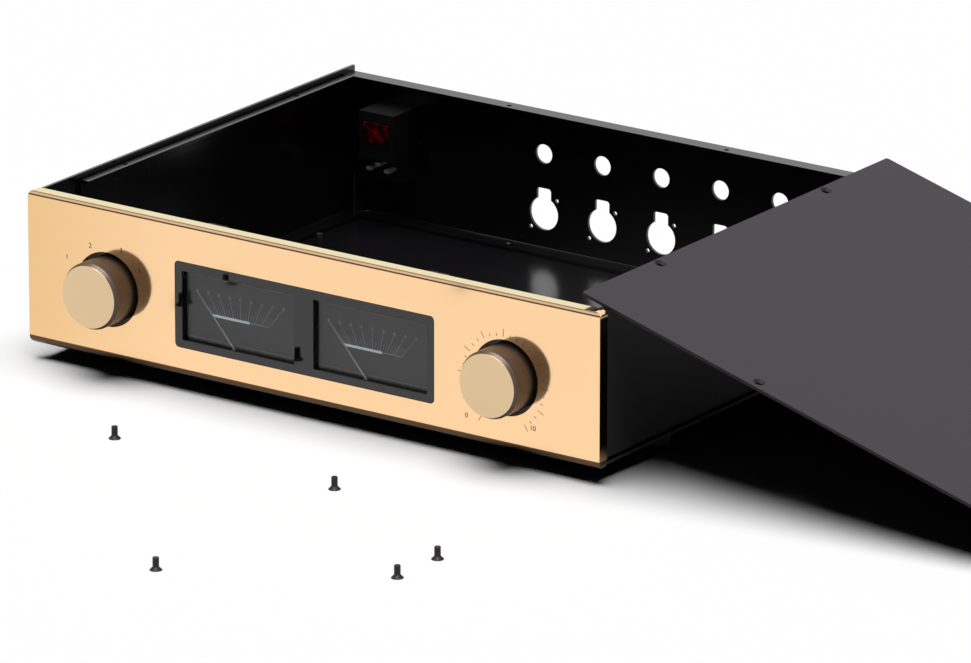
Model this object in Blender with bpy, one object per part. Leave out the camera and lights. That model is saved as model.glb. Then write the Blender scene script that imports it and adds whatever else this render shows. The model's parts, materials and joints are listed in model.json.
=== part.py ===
"""Amplifier chassis: a full-width hi-fi enclosure with a gold front panel, its cover leaning on one side.

+Z is up, +X is to the right of someone who faces the front panel, and +Y runs to the rear.
The origin is the middle of the bottom plate's underside. Lengths are metres, written in millimetres.
"""

import math

import bmesh
import bpy
from mathutils import Matrix, Vector

MM = 0.001

# Clearances
SEAT_GAP = 0.3 * MM  # between pieces that lie against each other
HOLE_GAP = 0.4 * MM  # all round what passes through a hole
SCREW_GAP = 0.3 * MM  # all round a screw in its hole

# Front panel
PANEL_WIDTH = 430 * MM
PANEL_HEIGHT = 100 * MM
PANEL_THICKNESS = 8 * MM
PANEL_CORNER = 4 * MM  # radius of the four corners seen from the front
PANEL_NOSE = 6 * MM  # radius of the lower front edge
PANEL_TOP_CHAMFER = 0.6 * MM
GROOVE_DROP = 2.4 * MM  # from the top of the panel to the middle of the groove
GROOVE_WIDTH = 0.9 * MM
GROOVE_DEPTH = 0.6 * MM
LAYOUT_SHIFT = -4 * MM  # the meters and knobs sit this far from the panel's middle

# Enclosure behind the panel
CHASSIS_DEPTH = 336.5 * MM  # front face to rear face
SIDE_INSET = 4.4 * MM  # from the panel's end to the side panel's outer face
SHEET = 2 * MM
BEND_RADIUS = 1 * MM  # inside a fold
BEND_STEPS = 4
LIP_HEIGHT = 3 * MM  # the side panels stand this much above the ledges
SIDE_FLANGE = 14 * MM
FRONT_FLANGE = 14 * MM
REAR_FLANGE = 13 * MM
REAR_BOTTOM_FLANGE = 14 * MM
RAIL_LEDGE = 8 * MM
RAIL_DROP = 10 * MM
RAIL_START = 42.8 * MM  # from the panel's front face to the rails
BRACKET_LEG = 10 * MM
BRACKET_HEIGHT = 24 * MM
LUG_WIDTH = 14 * MM
LUG_DROP = 9 * MM
LUG_PAST_HOLE = 2.4 * MM  # from the hole's middle to the end of the lug

# Cover and its screws
COVER_THICKNESS = 2 * MM
COVER_CORNER = 1.5 * MM
COVER_OVERHANG = 17 * MM  # how far the leaning cover reaches in over the right side panel
COVER_SLIDE = 2.2 * MM  # how far back of its closed place the leaning cover lies
COVER_REAR_OVERHANG = 5.6 * MM  # past the rear panel when the cover is on
COVER_SIDE_HOLES = (76.7 * MM, 258.1 * MM)  # from the cover's front edge
COVER_SIDE_MARGIN = 4.5 * MM  # from the side edge to the row of holes
COVER_FRONT_MARGIN = 7.1 * MM
COVER_REAR_MARGIN = 14.6 * MM
COVER_END_HOLE_SPACING = 166.6 * MM
COVER_END_HOLE_SHIFT = 2.6 * MM  # of the end holes to the right of the middle
COVER_SCREW_SHANK = 4 * MM
COVER_SCREW_HEAD = 7.6 * MM
COVER_SCREW_HEAD_DEPTH = 2.1 * MM
COVER_SCREW_LENGTH = 8 * MM
COVER_SCREW_SOCKET = 2.5 * MM
COVER_SCREW_SOCKET_DEPTH = 1.4 * MM
TAPPED_HOLE = 3.4 * MM
LOOSE_SCREW_SPOTS = (  # x, and distance in front of the panel's face
    (-77.8 * MM, 93.7 * MM),
    (86.9 * MM, 93.3 * MM),
    (87 * MM, 271.1 * MM),
    (210.3 * MM, 200.8 * MM),
    (210.4 * MM, 160.5 * MM),
    (-77.8 * MM, 271.1 * MM),
    (-202.8 * MM, 187.5 * MM),
    (-202.8 * MM, 140.5 * MM),
)

# Feet
FOOT_HEIGHT = 10 * MM
FOOT_TOP_RADIUS = 11.5 * MM
FOOT_BASE_RADIUS = 10 * MM
FOOT_EDGE = 1 * MM
FOOT_STUD_RADIUS = 2 * MM
FOOT_STUD_LENGTH = 5 * MM
FOOT_FROM_SIDE = 18.6 * MM  # from the side panel's outer face to the foot's axis
FOOT_FROM_FRONT = 91 * MM
FOOT_FROM_REAR = 62 * MM

# Knobs, potentiometer and rotary switch
KNOB_SPACING = 300 * MM
CONTROL_HEIGHT = 46.3 * MM  # the knobs' axes above the bottom
KNOB_RADIUS = 20 * MM
KNOB_PROJECTION = 19.3 * MM  # in front of the panel's face
KNOB_SUNK = 5.5 * MM  # behind the panel's face, in its round recess
KNOB_RECESS_RADIUS = 24 * MM
KNOB_EDGE = 0.5 * MM
KNOB_POCKET_RADIUS = 9.5 * MM  # hollow at the back of the knob, round the bushing
KNOB_POCKET_DEPTH = 8 * MM
KNOB_FACE_WALL = 7 * MM  # solid metal between the face and the shaft's bore
SHAFT_RADIUS = 3 * MM
SHAFT_IN_BODY = 14 * MM
GRUB_RADIUS = 1.5 * MM
GRUB_LENGTH = 8 * MM
BUSHING_RADIUS = 4.5 * MM
BUSHING_REACH = 6 * MM  # in front of the inner panel
NUT_ACROSS = 14 * MM
NUT_THICKNESS = 2 * MM
POT_RADIUS = 12 * MM
POT_DEPTH = 20 * MM
SWITCH_RADIUS = 12.5 * MM
SWITCH_FRAME_DEPTH = 9 * MM
WAFER_RADIUS = 13 * MM
WAFER_THICKNESS = 2 * MM
WAFER_SPACING = 10 * MM
WAFER_COUNT = 2
WAFER_CORE_RADIUS = 7 * MM
TERMINAL_WIDTH = 2.4 * MM
TERMINAL_THICKNESS = 1 * MM
TAG_REACH = 6 * MM  # of the potentiometer's tags below its can
WAFER_TAG_REACH = 3 * MM

# Meter opening, its dark frame and the two meters
OPENING_WIDTH = 195.5 * MM
OPENING_HEIGHT = 55.7 * MM
OPENING_RISE = 0.95 * MM  # the opening's middle above the knobs' axes
OPENING_CORNER = 3 * MM
BEZEL_RECESS = 0.2 * MM  # from the panel's face to the frame's front
BEZEL_THICKNESS = 2.6 * MM
METER_SPACING = 99.6 * MM
WINDOW_WIDTH = 85.2 * MM
WINDOW_HEIGHT = 44.6 * MM
WINDOW_CORNER = 0.8 * MM
WINDOW_DROP = 0.5 * MM  # the windows' middle below the opening's middle
LENS_THICKNESS = 0.7 * MM
CASE_OVERLAP = 2.5 * MM  # of the meter case past the window's sides
CASE_TOP_OVERLAP = 1.5 * MM
CASE_WALL = 1.1 * MM
CASE_DEPTH = 26 * MM
DIAL_DEPTH = 0.9 * MM  # from the case's rim to the dial's face
MAGNET_RADIUS = 19 * MM
MAGNET_DEPTH = 10 * MM
METER_STUD_RADIUS = 1.5 * MM
METER_STUD_LENGTH = 8 * MM
METER_STUD_SPACING = 26 * MM
DIAL_THICKNESS = 0.5 * MM
PIVOT_SHIFT = -1.5 * MM  # the needle's axis beside the window's middle
PIVOT_DROP = 5.6 * MM  # of the needle's axis below the window
PIVOT_RADIUS = 0.8 * MM
PIVOT_DEPTH = 5 * MM
HUB_RADIUS = 3 * MM
HUB_THICKNESS = 0.5 * MM
HUB_FLOOR = 5.5 * MM  # from the needle's axis down to the case's underside
NEEDLE_LENGTH = 49.5 * MM
NEEDLE_ROOT_WIDTH = 1.2 * MM
NEEDLE_TIP_WIDTH = 0.6 * MM
NEEDLE_THICKNESS = 0.3 * MM
NEEDLE_GAP = 0.4 * MM  # from the hub to the dial
NEEDLE_REST = 40.8  # degrees to the left of upright

# Rear panel cut-outs
CONNECTOR_COLUMNS = 6
CONNECTOR_SPACING = 45.1 * MM
CONNECTOR_FROM_SIDE = 43.7 * MM  # from the right side panel to the last column
PHONO_RADIUS = 6.4 * MM
PHONO_HEIGHT = 67 * MM
BALANCED_RADIUS = 11 * MM
BALANCED_HEIGHT = 27.2 * MM
LATCH_WIDTH = 11 * MM
LATCH_RISE = 5.9 * MM
LATCH_CORNER = 2 * MM
BALANCED_SCREW_RADIUS = 1.4 * MM
BALANCED_SCREW_OFFSET = 10 * MM

# Power inlet with its rocker switch
INLET_FROM_SIDE = 38.5 * MM  # from the left side panel to the inlet's middle
INLET_WIDTH = 27 * MM
INLET_HEIGHT = 46.4 * MM
INLET_BELOW_LEDGE = 16.6 * MM  # from the panel's top flange to the inlet's body
INLET_STEP_RISE = 15 * MM  # from the body's underside to where it gets deeper
INLET_DEPTH = 25.4 * MM
INLET_LOW_DEPTH = 16 * MM
INLET_FLANGE_MARGIN = 2.2 * MM
INLET_EAR = 7 * MM  # of the flange past the body, at each side
INLET_FLANGE_THICKNESS = 2.5 * MM
SHEET_SCREW_RADIUS = 1.5 * MM
SHEET_SCREW_HEAD_RADIUS = 2.9 * MM
SHEET_SCREW_HEAD_HEIGHT = 1.8 * MM
INLET_SCREW_LENGTH = 8 * MM
SOCKET_WIDTH = 21 * MM
SOCKET_HEIGHT = 15 * MM
SOCKET_CHAMFER = 4 * MM
SOCKET_DEPTH = 14 * MM
SOCKET_RISE = 2.5 * MM  # of the socket's lower edge above the body's underside
PIN_WIDTH = 4 * MM
PIN_THICKNESS = 2 * MM
PIN_SPACING = 7 * MM
PIN_DROP = 2 * MM  # of the outer pins below the socket's middle, and of the earth pin above it
PIN_IN_SOCKET = 11 * MM
BLADE_REACH = 8 * MM
ROCKER_WIDTH = 19 * MM
ROCKER_HEIGHT = 13 * MM
ROCKER_FROM_TOP = 13.5 * MM  # from the body's top to the rocker's middle
ROCKER_CROWN = 3 * MM  # of the rocker past the flange
ROCKER_TILT = 7.0  # degrees to each side of the middle
ROCKER_SWEEP_GAP = 0.8 * MM
ROCKER_WELL = 5 * MM
ROCKER_SHELL = 1.2 * MM
BARREL_REACH = 0.8 * MM  # of the red switch barrel past the body, inside the chassis

ROUND_STEPS = 64
HOLE_STEPS = 24
SCREW_STEPS = 16
SMALL_STEPS = 12
CORNER_STEPS = 3
CUT_PAST = 1 * MM  # how far a cutter runs past the metal

# Places worked out from the sizes above
FACE_Y = -CHASSIS_DEPTH / 2
PANEL_BACK_Y = FACE_Y + PANEL_THICKNESS
REAR_Y = CHASSIS_DEPTH / 2
OUTER_X = PANEL_WIDTH / 2 - SIDE_INSET
INNER_X = OUTER_X - SHEET
INSIDE_X = INNER_X - SEAT_GAP
BEHIND_PANEL_Y = PANEL_BACK_Y + SEAT_GAP
SUBPANEL_BACK_Y = BEHIND_PANEL_Y + SHEET
FLANGE_BASE_Z = SHEET + SEAT_GAP
FLANGE_TOP_Z = FLANGE_BASE_Z + SHEET
LEDGE_Z = PANEL_HEIGHT - LIP_HEIGHT
REAR_INNER_Y = REAR_Y - SHEET
COVER_WIDTH = 2 * INSIDE_X
COVER_LENGTH = REAR_Y + COVER_REAR_OVERHANG - BEHIND_PANEL_Y
COVER_REAR_HOLE_Y = BEHIND_PANEL_Y + COVER_LENGTH - COVER_REAR_MARGIN
COVER_END_HOLE_XS = {
    "left": COVER_END_HOLE_SHIFT - COVER_END_HOLE_SPACING / 2,
    "right": COVER_END_HOLE_SHIFT + COVER_END_HOLE_SPACING / 2,
}
GROUND_Z = -FOOT_HEIGHT
BEZEL_FRONT_Y = FACE_Y + BEZEL_RECESS
BEZEL_BACK_Y = BEZEL_FRONT_Y + BEZEL_THICKNESS
LENS_FRONT_Y = BEZEL_BACK_Y + SEAT_GAP
CASE_RIM_Y = LENS_FRONT_Y + LENS_THICKNESS + SEAT_GAP
DIAL_FRONT_Y = CASE_RIM_Y + DIAL_DEPTH
CASE_FLOOR_Y = DIAL_FRONT_Y + DIAL_THICKNESS + SEAT_GAP
OPENING_MIDDLE_Z = CONTROL_HEIGHT + OPENING_RISE
WINDOW_MIDDLE_Z = OPENING_MIDDLE_Z - WINDOW_DROP
WINDOW_TOP_Z = WINDOW_MIDDLE_Z + WINDOW_HEIGHT / 2
WINDOW_BOTTOM_Z = WINDOW_MIDDLE_Z - WINDOW_HEIGHT / 2
PIVOT_Z = WINDOW_BOTTOM_Z - PIVOT_DROP
CASE_WIDTH = WINDOW_WIDTH + 2 * CASE_OVERLAP
CASE_TOP_Z = WINDOW_TOP_Z + CASE_TOP_OVERLAP
CASE_BOTTOM_Z = PIVOT_Z - HUB_FLOOR
METER_XS = {
    "left": LAYOUT_SHIFT - METER_SPACING / 2,
    "right": LAYOUT_SHIFT + METER_SPACING / 2,
}
KNOB_XS = {
    "selector": LAYOUT_SHIFT - KNOB_SPACING / 2,
    "volume": LAYOUT_SHIFT + KNOB_SPACING / 2,
}
KNOB_FRONT_Y = FACE_Y - KNOB_PROJECTION
KNOB_BACK_Y = FACE_Y + KNOB_SUNK
BUSHING_FRONT_Y = BEHIND_PANEL_Y - BUSHING_REACH
CONNECTOR_XS = [
    OUTER_X - CONNECTOR_FROM_SIDE - column * CONNECTOR_SPACING for column in range(CONNECTOR_COLUMNS)
]
INLET_X = INLET_FROM_SIDE - OUTER_X
INLET_TOP = LEDGE_Z - INLET_BELOW_LEDGE
INLET_BOTTOM = INLET_TOP - INLET_HEIGHT
ROCKER_CENTRE_Z = INLET_TOP - ROCKER_FROM_TOP


def material(name, colour, roughness, metallic=0.0):
    made = bpy.data.materials.new(name)
    made.use_nodes = True
    shader = made.node_tree.nodes["Principled BSDF"]
    shader.inputs["Base Color"].default_value = (*colour, 1.0)
    shader.inputs["Roughness"].default_value = roughness
    shader.inputs["Metallic"].default_value = metallic
    return made


# Outlines: lists of (u, v) points in the plane across the extrusion's axis


def arc(centre, radius, start, end, steps):
    """Points on an arc from start to end, both in degrees and both included."""
    return [
        (
            centre[0] + radius * math.cos(math.radians(start + (end - start) * step / steps)),
            centre[1] + radius * math.sin(math.radians(start + (end - start) * step / steps)),
        )
        for step in range(steps + 1)
    ]


def circle(centre, radius, steps):
    return arc(centre, radius, 0, 360, steps)[:-1]


def rectangle(low, high):
    return [low, (high[0], low[1]), high, (low[0], high[1])]


def rounded_rectangle(centre, width, height, radius, steps=6):
    points = []
    for sign_u, sign_v, start in ((1, 1, 0), (-1, 1, 90), (-1, -1, 180), (1, -1, 270)):
        corner = (
            centre[0] + sign_u * (width / 2 - radius),
            centre[1] + sign_v * (height / 2 - radius),
        )
        points += arc(corner, radius, start, start + 90, steps)
    return points


def hexagon(centre, across):
    return circle(centre, across / 2 / math.cos(math.radians(30)), 6)


def keyhole(centre, radius, slot_width, slot_rise, corner):
    """A circle with a slot that rises from its top and ends in two rounded corners."""
    meet = math.degrees(math.asin(slot_width / 2 / radius))
    points = arc(centre, radius, 90 + meet, 450 - meet, HOLE_STEPS)
    reach = slot_width / 2 - corner
    corner_v = centre[1] + radius + slot_rise - corner
    points += arc((centre[0] + reach, corner_v), corner, 0, 90, CORNER_STEPS)
    points += arc((centre[0] - reach, corner_v), corner, 90, 180, CORNER_STEPS)
    return points


def folded_sheet(path, thickness, bend_radius):
    """The section of a sheet whose outer side follows path, a list of points with a fold at each inner one.

    The sheet lies to the left of the path's direction, and the folds turn left.
    """
    outer, inner = [], []
    for index, point in enumerate(path):
        here = Vector(point)
        before = (here - Vector(path[index - 1])).normalized() if index else None
        after = (Vector(path[index + 1]) - here).normalized() if index + 1 < len(path) else None
        if before is None or after is None:
            run = after or before
            outer.append(here)
            inner.append(here + thickness * Vector((-run.y, run.x)))
            continue
        reach = thickness + bend_radius
        centre = here - reach * before + reach * after
        start = math.degrees(math.atan2(-before.x, before.y))
        for radius, side in ((reach, outer), (bend_radius, inner)):
            side += [Vector(spot) for spot in arc(centre, radius, start, start + 90, BEND_STEPS)]
    return [tuple(spot) for spot in outer + inner[::-1]]


# Solids, added to a bmesh so that one object can be built from several shapes


def place(axis, u, v, along):
    """The point at (u, v) across an axis and at this distance along it."""
    return {"X": (along, u, v), "Y": (u, along, v), "Z": (u, v, along)}[axis]


def add_prism(shape, axis, outline, low, high):
    ends = [[shape.verts.new(place(axis, u, v, end)) for u, v in outline] for end in (low, high)]
    shape.faces.new(ends[0])
    shape.faces.new(ends[1])
    for index in range(len(outline)):
        after = (index + 1) % len(outline)
        shape.faces.new((ends[0][index], ends[0][after], ends[1][after], ends[1][index]))


def add_box(shape, low, high):
    add_prism(shape, "Z", rectangle(low[:2], high[:2]), low[2], high[2])


def add_turned(shape, axis, centre, profile, steps=ROUND_STEPS):
    """Turns a profile of (radius, distance along the axis); a closed one where no radius is zero."""
    rings = []
    for radius, along in profile:
        spots = circle(centre, radius, steps) if radius else [centre]
        rings.append([shape.verts.new(place(axis, u, v, along)) for u, v in spots])
    closed = all(radius for radius, _ in profile)
    pairs = list(zip(rings, rings[1:])) + ([(rings[-1], rings[0])] if closed else [])
    for first, second in pairs:
        for step in range(steps):
            after = (step + 1) % steps
            corners = [
                first[step % len(first)],
                first[after % len(first)],
                second[after % len(second)],
                second[step % len(second)],
            ]
            shape.faces.new(list(dict.fromkeys(corners)))


def add_cylinder(shape, axis, centre, radius, low, high, steps=HOLE_STEPS):
    add_prism(shape, axis, circle(centre, radius, steps), low, high)


def finish(name, shape, look=None, sharp=35):
    """Turns a bmesh into an object whose faces point outwards and whose round sides are smooth."""
    bmesh.ops.recalc_face_normals(shape, faces=shape.faces)
    mesh = bpy.data.meshes.new(name)
    shape.to_mesh(mesh)
    shape.free()
    mesh.shade_smooth()
    mesh.set_sharp_from_angle(angle=math.radians(sharp))
    made = bpy.data.objects.new(name, mesh)
    bpy.context.scene.collection.objects.link(made)
    if look:
        mesh.materials.append(look)
    return made


def boolean(target, name, shape, operation="DIFFERENCE"):
    """Cuts a bmesh out of an object, or joins it on, with a hidden tool object."""
    tool = finish(name, shape)
    tool.hide_render = True
    tool.display_type = "WIRE"
    modifier = target.modifiers.new(name, "BOOLEAN")
    modifier.operation = operation
    modifier.object = tool
    modifier.solver = "EXACT"
    return tool


def cut_prisms(target, name, axis, outlines, low, high):
    shape = bmesh.new()
    for outline in outlines:
        add_prism(shape, axis, outline, low, high)
    boolean(target, name, shape)


def set_origin(piece, spot):
    """Moves an object's origin to a point and leaves its shape where it is."""
    piece.data.transform(Matrix.Translation(-Vector(spot)))
    piece.location = spot


# Enclosure


def make_front_panel(look):
    """A milled slab: rounded corners, a rounded lower edge and a fine groove along the top."""
    shape = bmesh.new()
    outline = rounded_rectangle((0, PANEL_HEIGHT / 2), PANEL_WIDTH, PANEL_HEIGHT, PANEL_CORNER)
    add_prism(shape, "Y", outline, FACE_Y, PANEL_BACK_Y)
    panel = finish("front_panel", shape, look)

    end_x = PANEL_WIDTH / 2 + CUT_PAST
    nose = arc((FACE_Y + PANEL_NOSE, PANEL_NOSE), PANEL_NOSE, 270, 180, 10)
    past = FACE_Y - CUT_PAST
    nose += [(past, PANEL_NOSE), (past, -CUT_PAST), (FACE_Y + PANEL_NOSE, -CUT_PAST)]
    groove_z = PANEL_HEIGHT - GROOVE_DROP
    groove = [
        (past, groove_z - GROOVE_WIDTH / 2),
        (FACE_Y, groove_z - GROOVE_WIDTH / 2),
        (FACE_Y + GROOVE_DEPTH, groove_z),
        (FACE_Y, groove_z + GROOVE_WIDTH / 2),
        (past, groove_z + GROOVE_WIDTH / 2),
    ]
    chamfer = [
        (past, PANEL_HEIGHT - PANEL_TOP_CHAMFER - CUT_PAST),
        (FACE_Y + PANEL_TOP_CHAMFER + CUT_PAST, PANEL_HEIGHT + CUT_PAST),
        (past, PANEL_HEIGHT + CUT_PAST),
    ]
    cut_prisms(panel, "panel_edge_cuts", "X", [nose, groove, chamfer], -end_x, end_x)

    holes = [
        rounded_rectangle(
            (LAYOUT_SHIFT, OPENING_MIDDLE_Z), OPENING_WIDTH, OPENING_HEIGHT, OPENING_CORNER
        )
    ]
    holes += [circle((x, CONTROL_HEIGHT), KNOB_RECESS_RADIUS, ROUND_STEPS) for x in KNOB_XS.values()]
    cut_prisms(panel, "panel_openings", "Y", holes, past, PANEL_BACK_Y + CUT_PAST)

    # Room at the back for the meters' lower ends, which reach below the opening
    pocket = rectangle(
        (METER_XS["left"] - CASE_WIDTH / 2 - 2 * SEAT_GAP, CASE_BOTTOM_Z - 2 * SEAT_GAP),
        (METER_XS["right"] + CASE_WIDTH / 2 + 2 * SEAT_GAP, CASE_TOP_Z + SEAT_GAP),
    )
    cut_prisms(panel, "meter_pocket", "Y", [pocket], BEZEL_BACK_Y, PANEL_BACK_Y + CUT_PAST)


def corner_notches():
    """Outlines that free a panel's lower corners from the side panels' bottom flanges."""
    inner = OUTER_X - SIDE_FLANGE - SEAT_GAP
    top = FLANGE_TOP_Z + SEAT_GAP
    return [
        rectangle((inner, -CUT_PAST), (OUTER_X + CUT_PAST, top)),
        rectangle((-OUTER_X - CUT_PAST, -CUT_PAST), (-inner, top)),
    ]


def make_front_subpanel(look):
    """The folded inner panel that carries the gold one, the meters and both controls."""
    path = [
        (SUBPANEL_BACK_Y + FRONT_FLANGE - SHEET, FLANGE_BASE_Z),
        (BEHIND_PANEL_Y, FLANGE_BASE_Z),
        (BEHIND_PANEL_Y, LEDGE_Z - 2 * SHEET),
    ]
    shape = bmesh.new()
    section = folded_sheet(path[::-1], SHEET, BEND_RADIUS)
    add_prism(shape, "X", section, -INSIDE_X, INSIDE_X)
    panel = finish("front_subpanel", shape, look)
    low, high = BEHIND_PANEL_Y - CUT_PAST, SUBPANEL_BACK_Y + CUT_PAST
    holes = [circle((x, CONTROL_HEIGHT), BUSHING_RADIUS + HOLE_GAP, HOLE_STEPS) for x in KNOB_XS.values()]
    for x in METER_XS.values():
        half = CASE_WIDTH / 2 + HOLE_GAP
        holes.append(
            rectangle((x - half, CASE_BOTTOM_Z - HOLE_GAP), (x + half, CASE_TOP_Z + HOLE_GAP))
        )
    cut_prisms(panel, "subpanel_holes", "Y", holes, low, high)
    cut_prisms(
        panel, "subpanel_notches", "Y", corner_notches(), low, SUBPANEL_BACK_Y + FRONT_FLANGE
    )


def foot_spots():
    ys = {"front": FACE_Y + FOOT_FROM_FRONT, "rear": REAR_Y - FOOT_FROM_REAR}
    return {
        f"{end}_{side}": (sign * (OUTER_X - FOOT_FROM_SIDE), y)
        for end, y in ys.items()
        for side, sign in (("left", -1), ("right", 1))
    }


def bottom_screw_spots():
    return {side: (x, COVER_REAR_HOLE_Y) for side, x in COVER_END_HOLE_XS.items()}


def make_bottom_plate(look):
    """A flat sheet, divided so that its plain middle, inside the feet and folds, is a face of its own."""
    shape = bmesh.new()
    add_box(shape, (-OUTER_X, BEHIND_PANEL_Y, 0), (OUTER_X, REAR_Y, SHEET))
    inner_x = OUTER_X - FOOT_FROM_SIDE - FOOT_TOP_RADIUS - FOOT_EDGE
    front_y = SUBPANEL_BACK_Y + FRONT_FLANGE
    rear_y = REAR_Y - REAR_BOTTOM_FLANGE - FOOT_EDGE
    for spot, normal in (
        ((-inner_x, 0, 0), (1, 0, 0)),
        ((inner_x, 0, 0), (1, 0, 0)),
        ((0, front_y, 0), (0, 1, 0)),
        ((0, rear_y, 0), (0, 1, 0)),
    ):
        everything = shape.verts[:] + shape.edges[:] + shape.faces[:]
        bmesh.ops.bisect_plane(shape, geom=everything, plane_co=spot, plane_no=normal)
    plate = finish("bottom_plate", shape, look)
    holes = [circle(spot, FOOT_STUD_RADIUS + HOLE_GAP, SMALL_STEPS) for spot in foot_spots().values()]
    holes += [
        circle(spot, SHEET_SCREW_RADIUS + SCREW_GAP, SMALL_STEPS)
        for spot in bottom_screw_spots().values()
    ]
    cut_prisms(plate, "bottom_plate_holes", "Z", holes, -CUT_PAST, SHEET + CUT_PAST)


def make_side_panel(side, sign, look):
    """A folded sheet: an upright wall, whose top stands proud as a lip, and a flange on the bottom plate."""
    path = [(OUTER_X - SIDE_FLANGE, FLANGE_BASE_Z), (OUTER_X, FLANGE_BASE_Z), (OUTER_X, PANEL_HEIGHT)]
    section = [(sign * x, z) for x, z in folded_sheet(path, SHEET, BEND_RADIUS)]
    shape = bmesh.new()
    add_prism(shape, "Y", section, BEHIND_PANEL_Y, REAR_Y)
    finish(f"{side}_side_panel", shape, look)


def make_cover_rail(side, sign, look):
    """An angle along the side panel, with two tapped holes for the cover's screws."""
    path = [
        (INSIDE_X, LEDGE_Z - RAIL_DROP),
        (INSIDE_X, LEDGE_Z),
        (INSIDE_X - RAIL_LEDGE, LEDGE_Z),
    ]
    section = [(sign * x, z) for x, z in folded_sheet(path, SHEET, BEND_RADIUS)]
    shape = bmesh.new()
    end_y = REAR_Y - REAR_FLANGE - SEAT_GAP
    add_prism(shape, "Y", section, FACE_Y + RAIL_START, end_y)
    rail = finish(f"{side}_cover_rail", shape, look)
    x = sign * (INSIDE_X - COVER_SIDE_MARGIN)
    holes = [
        circle((x, BEHIND_PANEL_Y + hole_y), TAPPED_HOLE / 2, SMALL_STEPS)
        for hole_y in COVER_SIDE_HOLES
    ]
    cut_prisms(
        rail, f"{side}_rail_holes", "Z", holes, LEDGE_Z - SHEET - CUT_PAST, LEDGE_Z + CUT_PAST
    )


def make_cover_lug(side, look):
    """A short angle on the inner panel's back, tapped for a screw at the cover's front edge."""
    hole_y = BEHIND_PANEL_Y + COVER_FRONT_MARGIN
    front_y = SUBPANEL_BACK_Y + SEAT_GAP
    path = [
        (hole_y + LUG_PAST_HOLE, LEDGE_Z),
        (front_y, LEDGE_Z),
        (front_y, LEDGE_Z - LUG_DROP),
    ]
    x = COVER_END_HOLE_XS[side]
    shape = bmesh.new()
    add_prism(
        shape, "X", folded_sheet(path, SHEET, BEND_RADIUS), x - LUG_WIDTH / 2, x + LUG_WIDTH / 2
    )
    lug = finish(f"{side}_cover_lug", shape, look)
    hole = circle((x, hole_y), TAPPED_HOLE / 2, SMALL_STEPS)
    cut_prisms(
        lug, f"{side}_lug_hole", "Z", [hole], LEDGE_Z - SHEET - CUT_PAST, LEDGE_Z + CUT_PAST
    )


def make_corner_bracket(end, side, look):
    """An upright angle that ties an end panel to a side panel."""
    wall_y, into = {"front": (SUBPANEL_BACK_Y, 1), "rear": (REAR_INNER_Y, -1)}[end]
    sign = {"left": -1, "right": 1}[side]
    corner_x = INNER_X - SEAT_GAP
    path = [(corner_x, BRACKET_LEG), (corner_x, 0), (corner_x - BRACKET_LEG, 0)]
    section = folded_sheet(path[::-1], SHEET, BEND_RADIUS)
    corner_y = wall_y + into * SEAT_GAP
    outline = [(sign * x, corner_y + into * y) for x, y in section]
    shape = bmesh.new()
    foot_z = FLANGE_TOP_Z + SEAT_GAP
    add_prism(shape, "Z", outline, foot_z, foot_z + BRACKET_HEIGHT)
    finish(f"{end}_{side}_bracket", shape, look)


def make_rear_panel(look):
    """The folded rear panel: a flange at the top and bottom, and the rows of connector cut-outs."""
    path = [
        (REAR_Y - REAR_BOTTOM_FLANGE, FLANGE_BASE_Z),
        (REAR_Y, FLANGE_BASE_Z),
        (REAR_Y, LEDGE_Z),
        (REAR_Y - REAR_FLANGE, LEDGE_Z),
    ]
    shape = bmesh.new()
    add_prism(shape, "X", folded_sheet(path, SHEET, BEND_RADIUS), -INSIDE_X, INSIDE_X)
    panel = finish("rear_panel", shape, look)

    holes = []
    for x in CONNECTOR_XS:
        holes.append(circle((x, PHONO_HEIGHT), PHONO_RADIUS, HOLE_STEPS))
        spot = (x, BALANCED_HEIGHT)
        holes.append(keyhole(spot, BALANCED_RADIUS, LATCH_WIDTH, LATCH_RISE, LATCH_CORNER))
        for sign in (-1, 1):
            spot = (x + sign * BALANCED_SCREW_OFFSET, BALANCED_HEIGHT + sign * BALANCED_SCREW_OFFSET)
            holes.append(circle(spot, BALANCED_SCREW_RADIUS, SMALL_STEPS))
    half = INLET_WIDTH / 2 + HOLE_GAP
    holes.append(
        rectangle(
            (INLET_X - half, INLET_BOTTOM - HOLE_GAP), (INLET_X + half, INLET_TOP + HOLE_GAP)
        )
    )
    holes += [circle(spot, SHEET_SCREW_RADIUS + SCREW_GAP, SMALL_STEPS) for spot in inlet_screw_spots()]
    cut_prisms(panel, "rear_panel_holes", "Y", holes, REAR_INNER_Y - CUT_PAST, REAR_Y + CUT_PAST)
    cut_prisms(
        panel,
        "rear_panel_notches",
        "Y",
        corner_notches(),
        REAR_Y - REAR_BOTTOM_FLANGE - CUT_PAST,
        REAR_Y + CUT_PAST,
    )

    top_holes = [
        circle((x, COVER_REAR_HOLE_Y), TAPPED_HOLE / 2, SMALL_STEPS)
        for x in COVER_END_HOLE_XS.values()
    ]
    cut_prisms(
        panel, "top_flange_holes", "Z", top_holes, LEDGE_Z - SHEET - CUT_PAST, LEDGE_Z + CUT_PAST
    )
    low_holes = [
        circle(spot, SHEET_SCREW_RADIUS + SCREW_GAP, SMALL_STEPS)
        for spot in bottom_screw_spots().values()
    ]
    cut_prisms(panel, "low_flange_holes", "Z", low_holes, 0, FLANGE_TOP_Z + CUT_PAST)


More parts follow.
